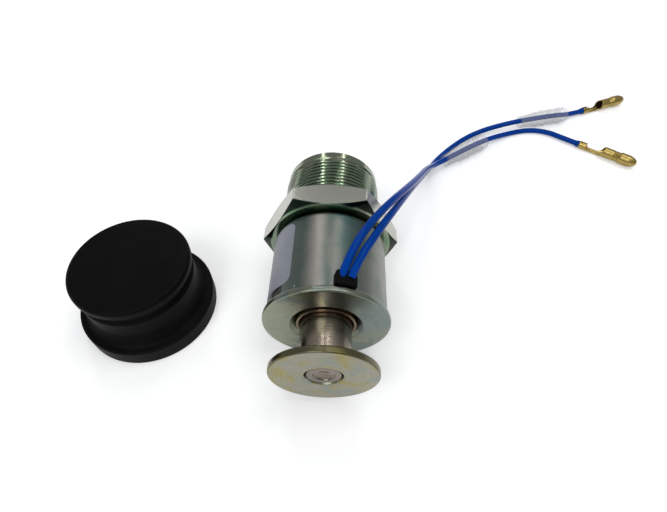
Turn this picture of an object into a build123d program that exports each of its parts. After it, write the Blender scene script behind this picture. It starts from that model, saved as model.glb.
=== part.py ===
from build123d import *
import os
from math import atan2, cos, degrees, pi, radians, sin, tan

# Push-type fuel shutoff solenoid with a threaded nose, two leads and its loose rubber cap.
# Millimetres. The solenoid lies on its side. Its axis is Y and the nose points to +Y.
# The origin is on that axis, in the plane of the hexagon's sealing face. Z is up.

os.makedirs("parts", exist_ok=True)

# Clearances
RUN_GAP = 0.06        # radial running clearance of the sliding pieces
FIT_GAP = 0.05        # clearance between still pieces that are slipped together

# Nose, turned from one bar
THREAD_R = 13.425     # crest radius of the M27 x 1.5 thread
THREAD_LEN = 13.3
PILOT_STEP = 0.275    # the plain lead-in at the tip lies this deep under the crests
PILOT_LEN = 3.0
PILOT_CHAMFER = 0.5
HEX_FLATS = 32.0      # across the flats
HEX_LEN = 7.2
HEX_BEVEL_IN = 0.3    # the bevel of the corners starts this far inside the flats
HEX_BEVEL_DEG = 30.0
SPIGOT_R = 9.0        # pressed into the end of the case
CORE_GAP = 0.01       # pole core in the guide tube
CORE_CHAMFER = 0.4

# Push rod and the bores of the nose around it
PLUNGER_WALL = 3.7    # of the plunger around the rod
ROD_OUT = 3.0         # beyond the nose at rest
ROD_SOCKET = 8.0      # depth of the rod's hole in the plunger
ROD_CHAMFER = 0.5
ROD_ROOM = 0.4        # around the rod in its hole, the washer and the retainer
ROD_HOLE_LEN = 1.4
BUSHING_T = 1.5       # from the rod to the bushing's bore
SEAL_SEAT_W = 2.5     # from the rod to the seal's bore
SEAL_ROOM = 0.11      # end play of the seal in its seat
RETAINER_T = 1.2
MOUTH_DEPTH = 0.65    # of the retainer under the nose's end
CHAMBER_FLOOR_Y = 2.5

# Case, a drawn cup with its open end at the end plate
CASE_WALL = 1.6
CASE_END_T = 1.8
SHOULDER_R = 2.0
JOINT_GAP = 0.4       # dark line between the case and the hexagon
SLOT_W = 4.4          # both slots in the open edge
SLOT_LEN = 3.8
SLOT_CORNER_R = 1.0
LEAD_SLOT_DEG = 15.0  # from the top towards +X
LUG_SLOT_DEG = -52.0
STAKE_DEGS = (-27.7, 92.3, 212.3)
STAKE_R = 0.7
STAKE_DEPTH = 0.3

# End plate
PLATE_R = 15.5
PLATE_RIM = 0.8       # over the case
PLATE_T = 1.6
PLATE_EDGE_R = 0.5
PLATE_SPIGOT_LEN = 2.0
PLATE_HOLE_ROOM = 0.22
PLATE_BEVEL = 1.3

# Plunger and its disc
PLUNGER_SHARE = 0.4   # the plunger's radius against the end plate's
PLUNGER_IN = 6.0      # length inside the guide tube at rest
PLUNGER_CHAMFER = 0.4
TRAVEL = 10.0         # from rest to the energised position
STOP_GAP = 1.1        # left between the disc and the end plate at full travel
POLE_GAP = 0.2        # left between the plunger and the shim at full travel
DISC_INSET = 2.8      # the disc's edge lies this far inside the end plate's
DISC_T = 1.8
DISC_EDGE_R = 0.4
RIVET_SHOULDER = 1.9
RIVET_SINK = 0.25
DIMPLE_R = 2.5
DIMPLE_DEPTH = 0.9

# Guide tube, shim and return spring
TUBE_WALL = 1.02
TUBE_MOUTH_CHAMFER = 0.45
TUBE_SINK = 0.1       # the tube's end lies this deep under the plate's face
SHIM_T = 0.3
SPRING_WIRE_R = 0.42
SPRING_WIRE_SIDES = 8 # the round wire is drawn with few faces
SPRING_TURNS = 7
SPRING_IN_ROOM = 0.8  # around the rod
SPRING_OUT_ROOM = 0.56
WASHER_T = 0.6

# Coil
BOBBIN_LEN = 16.6
BOBBIN_CORE_T = 1.0
BOBBIN_FLANGE_T = 1.2
BOBBIN_FLANGE_GAP = 0.2
CUSHION_T = 2.35
LUG_CLEAR = 0.1       # lug and grommet against the edges of their slots
LUG_SINK = 0.2        # the lug stays this far under the case's surface
WINDING_ROOM = 0.9    # from the winding to the rim of the bobbin
TAPE_T = 0.3

# Leads, each a plain insulated wire of 1.9 mm
WIRE_R = 0.95
FLOOR_Z = -HEX_FLATS / 2
GROMMET_SINK = 0.05   # the block ends this far under the case's surface
GROMMET_BACK_GAP = 0.05
NIPPLE_WALL = 0.1
NIPPLE_LEN = 2.2
ARC_SHARE = 0.45      # of the shorter run that an arc takes up

# Bullet terminals, folded from brass strip
STRIP_T = 0.4
CRIMP_R = 1.35
CRIMP_BORE_R = 0.65
CRIMP_LEN = 2.6
NECK_HALF_DEG = 62.0
BARREL_START = 8.0    # from the wire end of the terminal
BARREL_LEN = 6.6
BARREL_SLANT_DEG = 24.0
SLANT_LOW = 1.0       # height over the table where the slanted cut ends
NOSE_R = 2.05
NOSE_STEP = 0.2       # from the barrel's surface up to the nose's
NOSE_STRAIGHT = 2.4
NOSE_TAPER = 3.3
NOSE_TIP_R = 1.0
NOSE_ROUND = 0.8

# Clear sleeves slid back along the leads
SLEEVE_LEN = 20.0
SLEEVE_R = 3.25
SLEEVE_BACK_R = 2.45
SLEEVE_MOUTH_R = 2.85
SLEEVE_WALL = 0.5
SLEEVE_SAG = 0.55     # share of the length where the sleeve is widest
SLEEVE_RIDE = 0.65    # the lead runs this far over the middle of its sleeve

# Rubber cap, taken off and standing on its mouth
CAP_X = -50.65
CAP_Y = -18.15
CAP_ROOM = 0.25       # around the end plate and around the disc
CAP_END_ROOM = 1.5    # between the disc's face and the roof
CAP_WALL = 1.95
CAP_ROOF_T = 2.6
CAP_LIP_H = 2.0
CAP_TOP_LEDGE = 0.4
CAP_TOP_T = 2.4
CAP_TOP_EDGE_R = 1.0
CAP_NECK_DEPTH = 0.95
CAP_NECK_LEN = 1.3
CAP_BRIM_W = 3.1
CAP_BRIM_H = 5.4
CAP_BRIM_EDGE_R = 0.7
CAP_FLARE_R = 2.2

# Radii that follow from each other
PLUNGER_R = PLATE_R * PLUNGER_SHARE
ROD_R = PLUNGER_R - PLUNGER_WALL
PILOT_R = THREAD_R - PILOT_STEP
HEX_BEVEL_R = HEX_FLATS / 2 - HEX_BEVEL_IN
ROD_HOLE_R = ROD_R + ROD_ROOM
BUSHING_R = ROD_R + BUSHING_T
SEAL_BORE_R = ROD_R + SEAL_SEAT_W
SEAL_INNER_R = ROD_R + RUN_GAP
SEAL_SECTION = SEAL_BORE_R - FIT_GAP - SEAL_INNER_R
SPRING_R = ROD_R + SPRING_IN_ROOM + SPRING_WIRE_R
CHAMBER_R = SPRING_R + SPRING_WIRE_R + SPRING_OUT_ROOM
RIVET_R = PLUNGER_R - RIVET_SHOULDER
TUBE_BORE_R = PLUNGER_R + RUN_GAP
CORE_R = TUBE_BORE_R - CORE_GAP
TUBE_R = TUBE_BORE_R + TUBE_WALL
PLATE_HOLE_R = TUBE_R + PLATE_HOLE_ROOM
PLATE_BEVEL_R = PLATE_HOLE_R + PLATE_BEVEL
BOBBIN_BORE_R = TUBE_R + FIT_GAP
BOBBIN_CORE_R = BOBBIN_BORE_R + BOBBIN_CORE_T
CASE_R = PLATE_R - PLATE_RIM
CASE_BORE_R = CASE_R - CASE_WALL
BOBBIN_FLANGE_R = CASE_BORE_R - BOBBIN_FLANGE_GAP
WINDING_R = BOBBIN_FLANGE_R - WINDING_ROOM
NOTCH_DEPTH_R = BOBBIN_FLANGE_R - 0.6
DISC_R = PLATE_R - DISC_INSET
NIPPLE_R = WIRE_R + NIPPLE_WALL
BARREL_R = NOSE_R - NOSE_STEP
CAP_GROOVE_R = PLATE_R + CAP_ROOM
CAP_CHAMBER_R = DISC_R + CAP_ROOM
CAP_BODY_R = CAP_CHAMBER_R + CAP_WALL
CAP_NECK_R = CAP_BODY_R - CAP_NECK_DEPTH
CAP_TOP_R = CAP_BODY_R + CAP_TOP_LEDGE
CAP_BRIM_R = CAP_BODY_R + CAP_BRIM_W

# Stations along the axis, from the hexagon back to the disc
HEX_BACK_Y = -HEX_LEN
CASE_FRONT_Y = HEX_BACK_Y - JOINT_GAP
CASE_FLOOR_Y = CASE_FRONT_Y - CASE_END_T
CUSHION_Y = CASE_FLOOR_Y - FIT_GAP - CUSHION_T
BOBBIN_FRONT_Y = CUSHION_Y - FIT_GAP
BOBBIN_BACK_Y = BOBBIN_FRONT_Y - BOBBIN_LEN
WINDING_BACK_Y = BOBBIN_BACK_Y + BOBBIN_FLANGE_T
WINDING_FRONT_Y = BOBBIN_FRONT_Y - BOBBIN_FLANGE_T
PLATE_SPIGOT_Y = BOBBIN_BACK_Y - FIT_GAP
CASE_BACK_Y = PLATE_SPIGOT_Y - PLATE_SPIGOT_LEN
PLATE_FACE_Y = CASE_BACK_Y - PLATE_T
DISC_BACK_Y = PLATE_FACE_Y - TRAVEL - STOP_GAP
DISC_FACE_Y = DISC_BACK_Y - DISC_T

# Stations of the mechanism, from the plunger to the nose
PLUNGER_END_Y = PLATE_FACE_Y + PLUNGER_IN
SHIM_Y = PLUNGER_END_Y + TRAVEL + POLE_GAP
POLE_Y = SHIM_Y + SHIM_T
WASHER_Y = CHAMBER_FLOOR_Y - WASHER_T
BUSHING_Y = CHAMBER_FLOOR_Y + ROD_HOLE_LEN
THREAD_END_Y = THREAD_LEN
NOSE_END_Y = THREAD_LEN + PILOT_LEN
RETAINER_Y = NOSE_END_Y - MOUTH_DEPTH - RETAINER_T
SEAL_FLOOR_Y = RETAINER_Y - SEAL_ROOM - SEAL_SECTION
ROD_TIP_Y = NOSE_END_Y + ROD_OUT


def slot_plane(angle, radius, station):
    """Plane that looks out along the radius at an angle from the top, with its y along the axis."""
    across = (cos(radians(angle)), 0, -sin(radians(angle)))
    outwards = (sin(radians(angle)), 0, cos(radians(angle)))
    place = (radius * outwards[0], station, radius * outwards[2])
    return Plane(origin=place, x_dir=across, z_dir=outwards)


# Nose body: hexagon, threaded nose, spigot and pole core in one piece
hex_corner_r = HEX_FLATS / (2 * cos(radians(30)))
bevel_run = hex_corner_r + HEX_BEVEL_IN - HEX_BEVEL_R
bevel_drop = bevel_run * tan(radians(HEX_BEVEL_DEG))
with BuildPart() as nose_body:
    with BuildSketch(Plane.XZ.offset(-HEX_BACK_Y)):
        RegularPolygon(HEX_FLATS / 2, 6, major_radius=False)
    extrude(amount=-HEX_LEN)
    # A cone at each end bevels the hexagon's corners
    with BuildSketch(Plane.XY):
        with BuildLine():
            Polyline(
                (0, HEX_BACK_Y),
                (HEX_BEVEL_R, HEX_BACK_Y),
                (HEX_BEVEL_R + bevel_run, HEX_BACK_Y + bevel_drop),
                (HEX_BEVEL_R + bevel_run, -bevel_drop),
                (HEX_BEVEL_R, 0),
                (0, 0),
                close=True,
            )
        make_face()
    revolve(axis=Axis.Y, mode=Mode.INTERSECT)
    # Pole core, spigot, threaded nose and pilot
    with BuildSketch(Plane.XY):
        with BuildLine():
            Polyline(
                (0, POLE_Y),
                (CORE_R - CORE_CHAMFER, POLE_Y),
                (CORE_R, POLE_Y + CORE_CHAMFER),
                (CORE_R, CASE_FLOOR_Y),
                (SPIGOT_R, CASE_FLOOR_Y),
                (SPIGOT_R, 0),
                (THREAD_R, 0),
                (THREAD_R, THREAD_END_Y),
                (PILOT_R, THREAD_END_Y),
                (PILOT_R, NOSE_END_Y - PILOT_CHAMFER),
                (PILOT_R - PILOT_CHAMFER, NOSE_END_Y),
                (0, NOSE_END_Y),
                close=True,
            )
        make_face()
    revolve(axis=Axis.Y)
    # Spring chamber, rod hole, bushing bore and seal bore
    with BuildSketch(Plane.XY):
        with BuildLine():
            Polyline(
                (0, POLE_Y),
                (CHAMBER_R, POLE_Y),
                (CHAMBER_R, CHAMBER_FLOOR_Y),
                (ROD_HOLE_R, CHAMBER_FLOOR_Y),
                (ROD_HOLE_R, BUSHING_Y),
                (BUSHING_R, BUSHING_Y),
                (BUSHING_R, SEAL_FLOOR_Y),
                (SEAL_BORE_R, SEAL_FLOOR_Y),
                (SEAL_BORE_R, NOSE_END_Y),
                (0, NOSE_END_Y),
                close=True,
            )
        make_face()
    revolve(axis=Axis.Y, mode=Mode.SUBTRACT)
nose_body.part.label = "nose_body"
export_step(nose_body.part, "parts/nose_body.step")

# Case: drawn cup with two slots in its open edge and three stake marks that hold the end plate
with BuildPart() as case_shell:
    with BuildSketch(Plane.XY):
        with BuildLine():
            Polyline(
                (CASE_BORE_R, CASE_BACK_Y),
                (CASE_R, CASE_BACK_Y),
                (CASE_R, CASE_FRONT_Y - SHOULDER_R),
            )
            RadiusArc(
                (CASE_R, CASE_FRONT_Y - SHOULDER_R),
                (CASE_R - SHOULDER_R, CASE_FRONT_Y),
                -SHOULDER_R,
            )
            Polyline(
                (CASE_R - SHOULDER_R, CASE_FRONT_Y),
                (SPIGOT_R, CASE_FRONT_Y),
                (SPIGOT_R, CASE_FLOOR_Y),
                (CASE_BORE_R, CASE_FLOOR_Y),
                (CASE_BORE_R, CASE_BACK_Y),
            )
        make_face()
    revolve(axis=Axis.Y)
    for angle in (LEAD_SLOT_DEG, LUG_SLOT_DEG):
        with BuildSketch(slot_plane(angle, BOBBIN_CORE_R, CASE_BACK_Y)) as slot:
            Rectangle(SLOT_W, 2 * SLOT_LEN)
            fillet(slot.vertices().group_by(Axis.Y)[-1], SLOT_CORNER_R)
        extrude(amount=CASE_R, mode=Mode.SUBTRACT)
    for angle in STAKE_DEGS:
        with BuildSketch(slot_plane(angle, CASE_R - STAKE_DEPTH, CASE_BACK_Y + PLATE_SPIGOT_LEN / 2)):
            Circle(STAKE_R)
        extrude(amount=CASE_WALL, mode=Mode.SUBTRACT)
case_shell.part.label = "case_shell"
export_step(case_shell.part, "parts/case_shell.step")

# End plate: flange with a spigot inside the case, notched where the two slots are
with BuildPart() as end_plate:
    with BuildSketch(Plane.XY):
        with BuildLine():
            Polyline(
                (PLATE_BEVEL_R, PLATE_FACE_Y),
                (PLATE_R, PLATE_FACE_Y),
                (PLATE_R, CASE_BACK_Y),
                (CASE_BORE_R - FIT_GAP, CASE_BACK_Y),
                (CASE_BORE_R - FIT_GAP, PLATE_SPIGOT_Y),
                (PLATE_HOLE_R, PLATE_SPIGOT_Y),
                (PLATE_HOLE_R, PLATE_FACE_Y + PLATE_BEVEL),
                close=True,
            )
        make_face()
    revolve(axis=Axis.Y)
    rim = end_plate.edges().filter_by(GeomType.CIRCLE).filter_by(lambda e: abs(e.radius - PLATE_R) < 0.001)
    fillet(rim, PLATE_EDGE_R)
    for angle in (LEAD_SLOT_DEG, LUG_SLOT_DEG):
        with BuildSketch(slot_plane(angle, NOTCH_DEPTH_R, CASE_BACK_Y + PLATE_SPIGOT_LEN)):
            Rectangle(SLOT_W, 2 * PLATE_SPIGOT_LEN)
        extrude(amount=CASE_WALL, mode=Mode.SUBTRACT)
end_plate.part.label = "end_plate"
export_step(end_plate.part, "parts/end_plate.step")

# Guide tube: lines the coil, takes the plunger and the pole core
with BuildPart() as guide_tube:
    with BuildSketch(Plane.XY):
        with BuildLine():
            Polyline(
                (TUBE_BORE_R + TUBE_MOUTH_CHAMFER, PLATE_FACE_Y + TUBE_SINK),
                (TUBE_R, PLATE_FACE_Y + TUBE_SINK),
                (TUBE_R, CASE_FLOOR_Y - FIT_GAP),
                (TUBE_BORE_R, CASE_FLOOR_Y - FIT_GAP),
                (TUBE_BORE_R, PLATE_FACE_Y + TUBE_SINK + TUBE_MOUTH_CHAMFER),
                close=True,
            )
        make_face()
    revolve(axis=Axis.Y)
guide_tube.part.label = "guide_tube"
export_step(guide_tube.part, "parts/guide_tube.step")

# Bobbin: spool with a lug that fills the case's second slot and keeps the coil from turning
with BuildPart() as coil_bobbin:
    with BuildSketch(Plane.XY):
        with BuildLine():
            Polyline(
                (BOBBIN_BORE_R, BOBBIN_BACK_Y),
                (BOBBIN_FLANGE_R, BOBBIN_BACK_Y),
                (BOBBIN_FLANGE_R, WINDING_BACK_Y),
                (BOBBIN_CORE_R, WINDING_BACK_Y),
                (BOBBIN_CORE_R, WINDING_FRONT_Y),
                (BOBBIN_FLANGE_R, WINDING_FRONT_Y),
                (BOBBIN_FLANGE_R, BOBBIN_FRONT_Y),
                (BOBBIN_BORE_R, BOBBIN_FRONT_Y),
                close=True,
            )
        make_face()
    revolve(axis=Axis.Y)
    with BuildSketch(slot_plane(LUG_SLOT_DEG, NOTCH_DEPTH_R + LUG_CLEAR, CASE_BACK_Y)) as lug:
        with Locations((0, SLOT_LEN / 2)):
            Rectangle(SLOT_W - 2 * LUG_CLEAR, SLOT_LEN - 2 * LUG_CLEAR)
        fillet(lug.vertices().group_by(Axis.Y)[-1], SLOT_CORNER_R)
    lug_h = CASE_R - LUG_SINK - NOTCH_DEPTH_R - LUG_CLEAR
    extrude(amount=lug_h)
coil_bobbin.part.label = "coil_bobbin"
export_step(coil_bobbin.part, "parts/coil_bobbin.step")

# Copper winding and the tape around it
for label, inner, outer in (
    ("coil_winding", BOBBIN_CORE_R + FIT_GAP, WINDING_R),
    ("winding_tape", WINDING_R + FIT_GAP, WINDING_R + FIT_GAP + TAPE_T),
):
    with BuildPart() as coil_layer:
        with BuildSketch(Plane.XZ.offset(-WINDING_BACK_Y - FIT_GAP)):
            Circle(outer)
            Circle(inner, mode=Mode.SUBTRACT)
        extrude(amount=-(WINDING_FRONT_Y - WINDING_BACK_Y - 2 * FIT_GAP))
    coil_layer.part.label = label
    export_step(coil_layer.part, f"parts/{label}.step")

# Rubber cushion between the bobbin and the end of the case
with BuildPart() as coil_cushion:
    with BuildSketch(Plane.XZ.offset(-CUSHION_Y)):
        Circle(BOBBIN_FLANGE_R)
        Circle(BOBBIN_CORE_R, mode=Mode.SUBTRACT)
    extrude(amount=-CUSHION_T)
coil_cushion.part.label = "coil_cushion"
export_step(coil_cushion.part, "parts/coil_cushion.step")

# Plunger: its neck is riveted through the disc and it takes the push rod at the other end
with BuildPart() as plunger:
    with BuildSketch(Plane.XY):
        with BuildLine():
            Polyline(
                (0, DISC_FACE_Y + RIVET_SINK + DIMPLE_DEPTH),
                (DIMPLE_R, DISC_FACE_Y + RIVET_SINK),
                (RIVET_R, DISC_FACE_Y + RIVET_SINK),
                (RIVET_R, DISC_BACK_Y),
                (PLUNGER_R, DISC_BACK_Y),
                (PLUNGER_R, PLUNGER_END_Y - PLUNGER_CHAMFER),
                (PLUNGER_R - PLUNGER_CHAMFER, PLUNGER_END_Y),
                (ROD_R, PLUNGER_END_Y),
                (ROD_R, PLUNGER_END_Y - ROD_SOCKET),
                (0, PLUNGER_END_Y - ROD_SOCKET),
                close=True,
            )
        make_face()
    revolve(axis=Axis.Y)
plunger.part.label = "plunger"
export_step(plunger.part, "parts/plunger.step")

# Disc that stops the plunger and is pushed by hand to test it
with BuildPart() as plunger_disc:
    with BuildSketch(Plane.XZ.offset(-DISC_FACE_Y)):
        Circle(DISC_R)
        Circle(RIVET_R, mode=Mode.SUBTRACT)
    extrude(amount=-DISC_T)
    edge = plunger_disc.edges().filter_by(GeomType.CIRCLE).filter_by(lambda e: abs(e.radius - DISC_R) < 0.001)
    fillet(edge, DISC_EDGE_R)
plunger_disc.part.label = "plunger_disc"
export_step(plunger_disc.part, "parts/plunger_disc.step")

# Push rod
with BuildPart() as push_rod:
    with BuildSketch(Plane.XZ.offset(-(PLUNGER_END_Y - ROD_SOCKET))):
        Circle(ROD_R)
    extrude(amount=-(ROD_TIP_Y - PLUNGER_END_Y + ROD_SOCKET))
    chamfer(push_rod.edges().group_by(Axis.Y)[-1], ROD_CHAMFER)
push_rod.part.label = "push_rod"
export_step(push_rod.part, "parts/push_rod.step")

# Brass shim on the pole, so that the plunger doesn't stick
with BuildPart() as pole_shim:
    with BuildSketch(Plane.XZ.offset(-SHIM_Y)):
        Circle(CORE_R - CORE_CHAMFER)
        Circle(CHAMBER_R + FIT_GAP, mode=Mode.SUBTRACT)
    extrude(amount=-SHIM_T)
pole_shim.part.label = "pole_shim"
export_step(pole_shim.part, "parts/pole_shim.step")

# Return spring, between the plunger and the washer at the bottom of the chamber
spring_len = WASHER_Y - PLUNGER_END_Y - 2 * SPRING_WIRE_R
with BuildPart() as return_spring:
    with BuildLine() as coil_line:
        Helix(
            spring_len / SPRING_TURNS,
            spring_len,
            SPRING_R,
            center=(0, PLUNGER_END_Y + SPRING_WIRE_R, 0),
            direction=(0, 1, 0),
        )
    with BuildSketch(Plane(origin=coil_line.line @ 0, z_dir=coil_line.line % 0)):
        RegularPolygon(SPRING_WIRE_R, SPRING_WIRE_SIDES)
    sweep(path=coil_line.line, is_frenet=True)
return_spring.part.label = "return_spring"
export_step(return_spring.part, "parts/return_spring.step")

# Washer under the spring, rod bushing and the ring that keeps the seal in
for label, start, length, outer, inner in (
    ("spring_washer", WASHER_Y, WASHER_T, CHAMBER_R - FIT_GAP, ROD_HOLE_R),
    ("rod_bushing", BUSHING_Y, SEAL_FLOOR_Y - FIT_GAP - BUSHING_Y, BUSHING_R, ROD_R + RUN_GAP),
    ("seal_retainer", RETAINER_Y, RETAINER_T, SEAL_BORE_R, ROD_HOLE_R),
):
    with BuildPart() as ring:
        with BuildSketch(Plane.XZ.offset(-start)):
            Circle(outer)
            Circle(inner, mode=Mode.SUBTRACT)
        extrude(amount=-length)
    ring.part.label = label
    export_step(ring.part, f"parts/{label}.step")

# Rod seal, an O-ring in the mouth of the nose
seal_minor = SEAL_SECTION / 2
with BuildPart() as rod_seal:
    with BuildSketch(Plane.XY):
        with Locations((SEAL_INNER_R + seal_minor, SEAL_FLOOR_Y + SEAL_ROOM / 2 + seal_minor)):
            Circle(seal_minor)
    revolve(axis=Axis.Y)
rod_seal.part.label = "rod_seal"
export_step(rod_seal.part, "parts/rod_seal.step")

# Heights over the table of a lead that lies on it, of its bare end and of a lead inside a sleeve
WIRE_Z = FLOOR_Z + WIRE_R
END_Z = FLOOR_Z + CRIMP_R
SLEEVED_Z = FLOOR_Z + SLEEVE_R + SLEEVE_RIDE


def over_slot(across, along, height):
    """Point over the lead slot: across it, along the axis from the case's back, and over the case."""
    plane = slot_plane(LEAD_SLOT_DEG, CASE_R, CASE_BACK_Y)
    return tuple(plane.from_local_coords((across, along, height)))


# Routes of the two leads, point by point from the grommet to the terminals
LEAD_ROUTES = {
    "a": [
        over_slot(-0.65, 2.3, 0.86),
        over_slot(0.25, 6.4, 3.28),
        (8.6, -17.1, 18.9),
        (14.2, -8.1, 17.6),
        (20.4, 4.1, 11.4),
        (25.8, 16.9, 3.8),
        (30.2, 29.0, -3.7),
        (36.0, 40.9, SLEEVED_Z),
        (54.2, 54.5, SLEEVED_Z),
        (66.4, 63.3, WIRE_Z),
        (75.5, 66.1, WIRE_Z),
        (82.6, 64.9, WIRE_Z + 0.15),
        (87.7, 60.8, END_Z),
        (92.8, 57.3, END_Z),
    ],
    "b": [
        over_slot(1.46, 2.3, 1.12),
        over_slot(2.54, 6.0, 3.27),
        (11.0, -17.9, 17.8),
        (16.0, -7.3, 14.8),
        (22.2, 9.1, 5.8),
        (27.5, 24.7, -5.0),
        (32.6, 38.3, -13.0),
        (40.8, 51.3, WIRE_Z),
        (52.6, 62.7, WIRE_Z),
        (66.8, 66.3, SLEEVED_Z),
        (86.0, 71.8, SLEEVED_Z),
        (94.3, 76.3, END_Z),
        (100.4, 78.9, END_Z),
    ],
}

# Grommet: block in the lead slot with a nipple around each lead
with BuildPart() as wire_grommet:
    block_inner_r = CASE_BORE_R - FIT_GAP
    block_h = CASE_R - GROMMET_SINK - block_inner_r
    block_len = SLOT_LEN - LUG_CLEAR - GROMMET_BACK_GAP
    with BuildSketch(slot_plane(LEAD_SLOT_DEG, block_inner_r, CASE_BACK_Y)) as block:
        with Locations((0, GROMMET_BACK_GAP + block_len / 2)):
            Rectangle(SLOT_W - 2 * LUG_CLEAR, block_len)
        fillet(block.vertices().group_by(Axis.Y)[-1], SLOT_CORNER_R)
    extrude(amount=block_h)
    for route in LEAD_ROUTES.values():
        exit_dir = Vector(*route[1]) - Vector(*route[0])
        with BuildSketch(Plane(origin=route[0], z_dir=exit_dir)):
            Circle(NIPPLE_R)
        extrude(amount=-NIPPLE_LEN)
wire_grommet.part.label = "wire_grommet"
export_step(wire_grommet.part, "parts/wire_grommet.step")

# Leads: straight runs joined by arcs, each as large as its runs allow
for name, route in LEAD_ROUTES.items():
    points = [Vector(*point) for point in route]
    runs = [after - before for before, after in zip(points[:-1], points[1:])]
    arc_radii = []
    for before, after in zip(runs[:-1], runs[1:]):
        turn = before.get_angle(after)
        arc_radii.append(ARC_SHARE * min(before.length, after.length) / tan(radians(turn / 2)))
    with BuildPart() as lead:
        with BuildLine() as lead_path:
            FilletPolyline(*points, radius=arc_radii)
        with BuildSketch(Plane(origin=points[0], z_dir=runs[0])):
            Circle(WIRE_R)
        sweep(path=lead_path.line)
    lead.part.label = f"lead_wire_{name}"
    export_step(lead.part, f"parts/lead_wire_{name}.step")
    lead_len = sum(edge.length for edge in lead_path.edges())
    print(lead.part.label, "length", round(lead_len, 1), "radii", [round(r, 1) for r in arc_radii])
    print("volume / (section x length)", round(lead.part.volume / (lead_len * pi * WIRE_R**2), 4))

# Bullet terminals: crimp ring, open channel and rolled barrel with its nose, from one strip.
# Each is drawn along its own x, with the table at its own z of 0.
for name, route in LEAD_ROUTES.items():
    end = Vector(*route[-1])
    heading = end - Vector(*route[-2])
    turned = degrees(atan2(heading.Y, heading.X))
    bench = Plane(origin=(end.X, end.Y, FLOOR_Z)).rotated((0, 0, turned))
    with BuildPart() as terminal:
        # Crimp ring round the bared wire
        with BuildSketch(Plane.YZ):
            with Locations((0, CRIMP_R)):
                Circle(CRIMP_R)
                Circle(CRIMP_BORE_R, mode=Mode.SUBTRACT)
        extrude(amount=CRIMP_LEN)
        # Open channel between the ring and the barrel
        with BuildSketch(Plane.YZ.offset(CRIMP_LEN)):
            with BuildLine():
                side = radians(NECK_HALF_DEG)
                inner_r = CRIMP_R - STRIP_T
                CenterArc((0, CRIMP_R), CRIMP_R, -90 - NECK_HALF_DEG, 2 * NECK_HALF_DEG)
                CenterArc((0, CRIMP_R), inner_r, -90 - NECK_HALF_DEG, 2 * NECK_HALF_DEG)
                for hand in (-1, 1):
                    Line(
                        (hand * CRIMP_R * sin(side), CRIMP_R * (1 - cos(side))),
                        (hand * inner_r * sin(side), CRIMP_R - inner_r * cos(side)),
                    )
            make_face()
        extrude(amount=BARREL_START + STRIP_T - CRIMP_LEN)
        # Barrel and nose, turned about the barrel's own axis
        with BuildSketch(Plane.XZ):
            with BuildLine():
                barrel_end = BARREL_START + BARREL_LEN
                taper_start = barrel_end + NOSE_STEP + NOSE_STRAIGHT
                tip = taper_start + NOSE_TAPER
                Polyline(
                    (BARREL_START, NOSE_R + BARREL_R - STRIP_T),
                    (BARREL_START, NOSE_R + BARREL_R),
                    (barrel_end, NOSE_R + BARREL_R),
                    (barrel_end + NOSE_STEP, 2 * NOSE_R),
                    (taper_start, 2 * NOSE_R),
                )
                Line((taper_start, 2 * NOSE_R), (tip - NOSE_ROUND, NOSE_R + NOSE_TIP_R + NOSE_ROUND / 2))
                Spline(
                    (tip - NOSE_ROUND, NOSE_R + NOSE_TIP_R + NOSE_ROUND / 2),
                    (tip, NOSE_R + NOSE_TIP_R / 2),
                    tangents=((1, -0.3), (0, -1)),
                )
                Polyline(
                    (tip, NOSE_R + NOSE_TIP_R / 2),
                    (tip, NOSE_R),
                    (barrel_end + NOSE_STEP, NOSE_R),
                    (barrel_end + NOSE_STEP, NOSE_R + BARREL_R - STRIP_T),
                    (BARREL_START, NOSE_R + BARREL_R - STRIP_T),
                )
            make_face()
        revolve(axis=Axis((0, 0, NOSE_R), (1, 0, 0)))
        # The barrel's back end is cut on a slant
        with BuildSketch(Plane.XZ):
            with BuildLine():
                slant = 2 * NOSE_R * tan(radians(BARREL_SLANT_DEG))
                Polyline(
                    (BARREL_START - STRIP_T, 2 * NOSE_R + STRIP_T),
                    (BARREL_START + slant, 2 * NOSE_R + STRIP_T),
                    (BARREL_START, SLANT_LOW),
                    (BARREL_START - STRIP_T, SLANT_LOW),
                    close=True,
                )
            make_face()
        extrude(amount=NOSE_R, both=True, mode=Mode.SUBTRACT)
    terminal.part = bench.location * terminal.part
    terminal.part.label = f"terminal_{name}"
    export_step(terminal.part, f"parts/terminal_{name}.step")

# Clear sleeves, lying on the table round the leads
SLEEVE_STARTS = {"a": (39.6, 43.6, 36.8), "b": (71.6, 67.75, 16.3)}
for name, (start_x, start_y, turned) in SLEEVE_STARTS.items():
    bench = Plane(origin=(start_x, start_y, FLOOR_Z + SLEEVE_R)).rotated((0, 0, turned))
    with BuildPart() as sleeve:
        with BuildSketch(Plane.XZ):
            with BuildLine():
                widest = SLEEVE_SAG * SLEEVE_LEN
                outer = ThreePointArc((0, SLEEVE_BACK_R), (widest, SLEEVE_R), (SLEEVE_LEN, SLEEVE_MOUTH_R))
                inner = ThreePointArc(
                    (0, SLEEVE_BACK_R - SLEEVE_WALL),
                    (widest, SLEEVE_R - SLEEVE_WALL),
                    (SLEEVE_LEN, SLEEVE_MOUTH_R - SLEEVE_WALL),
                )
                Line(outer @ 0, inner @ 0)
                Line(outer @ 1, inner @ 1)
            make_face()
        revolve(axis=Axis.X)
    sleeve.part = bench.location * sleeve.part
    sleeve.part.label = f"sleeve_{name}"
    export_step(sleeve.part, f"parts/sleeve_{name}.step")

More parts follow.
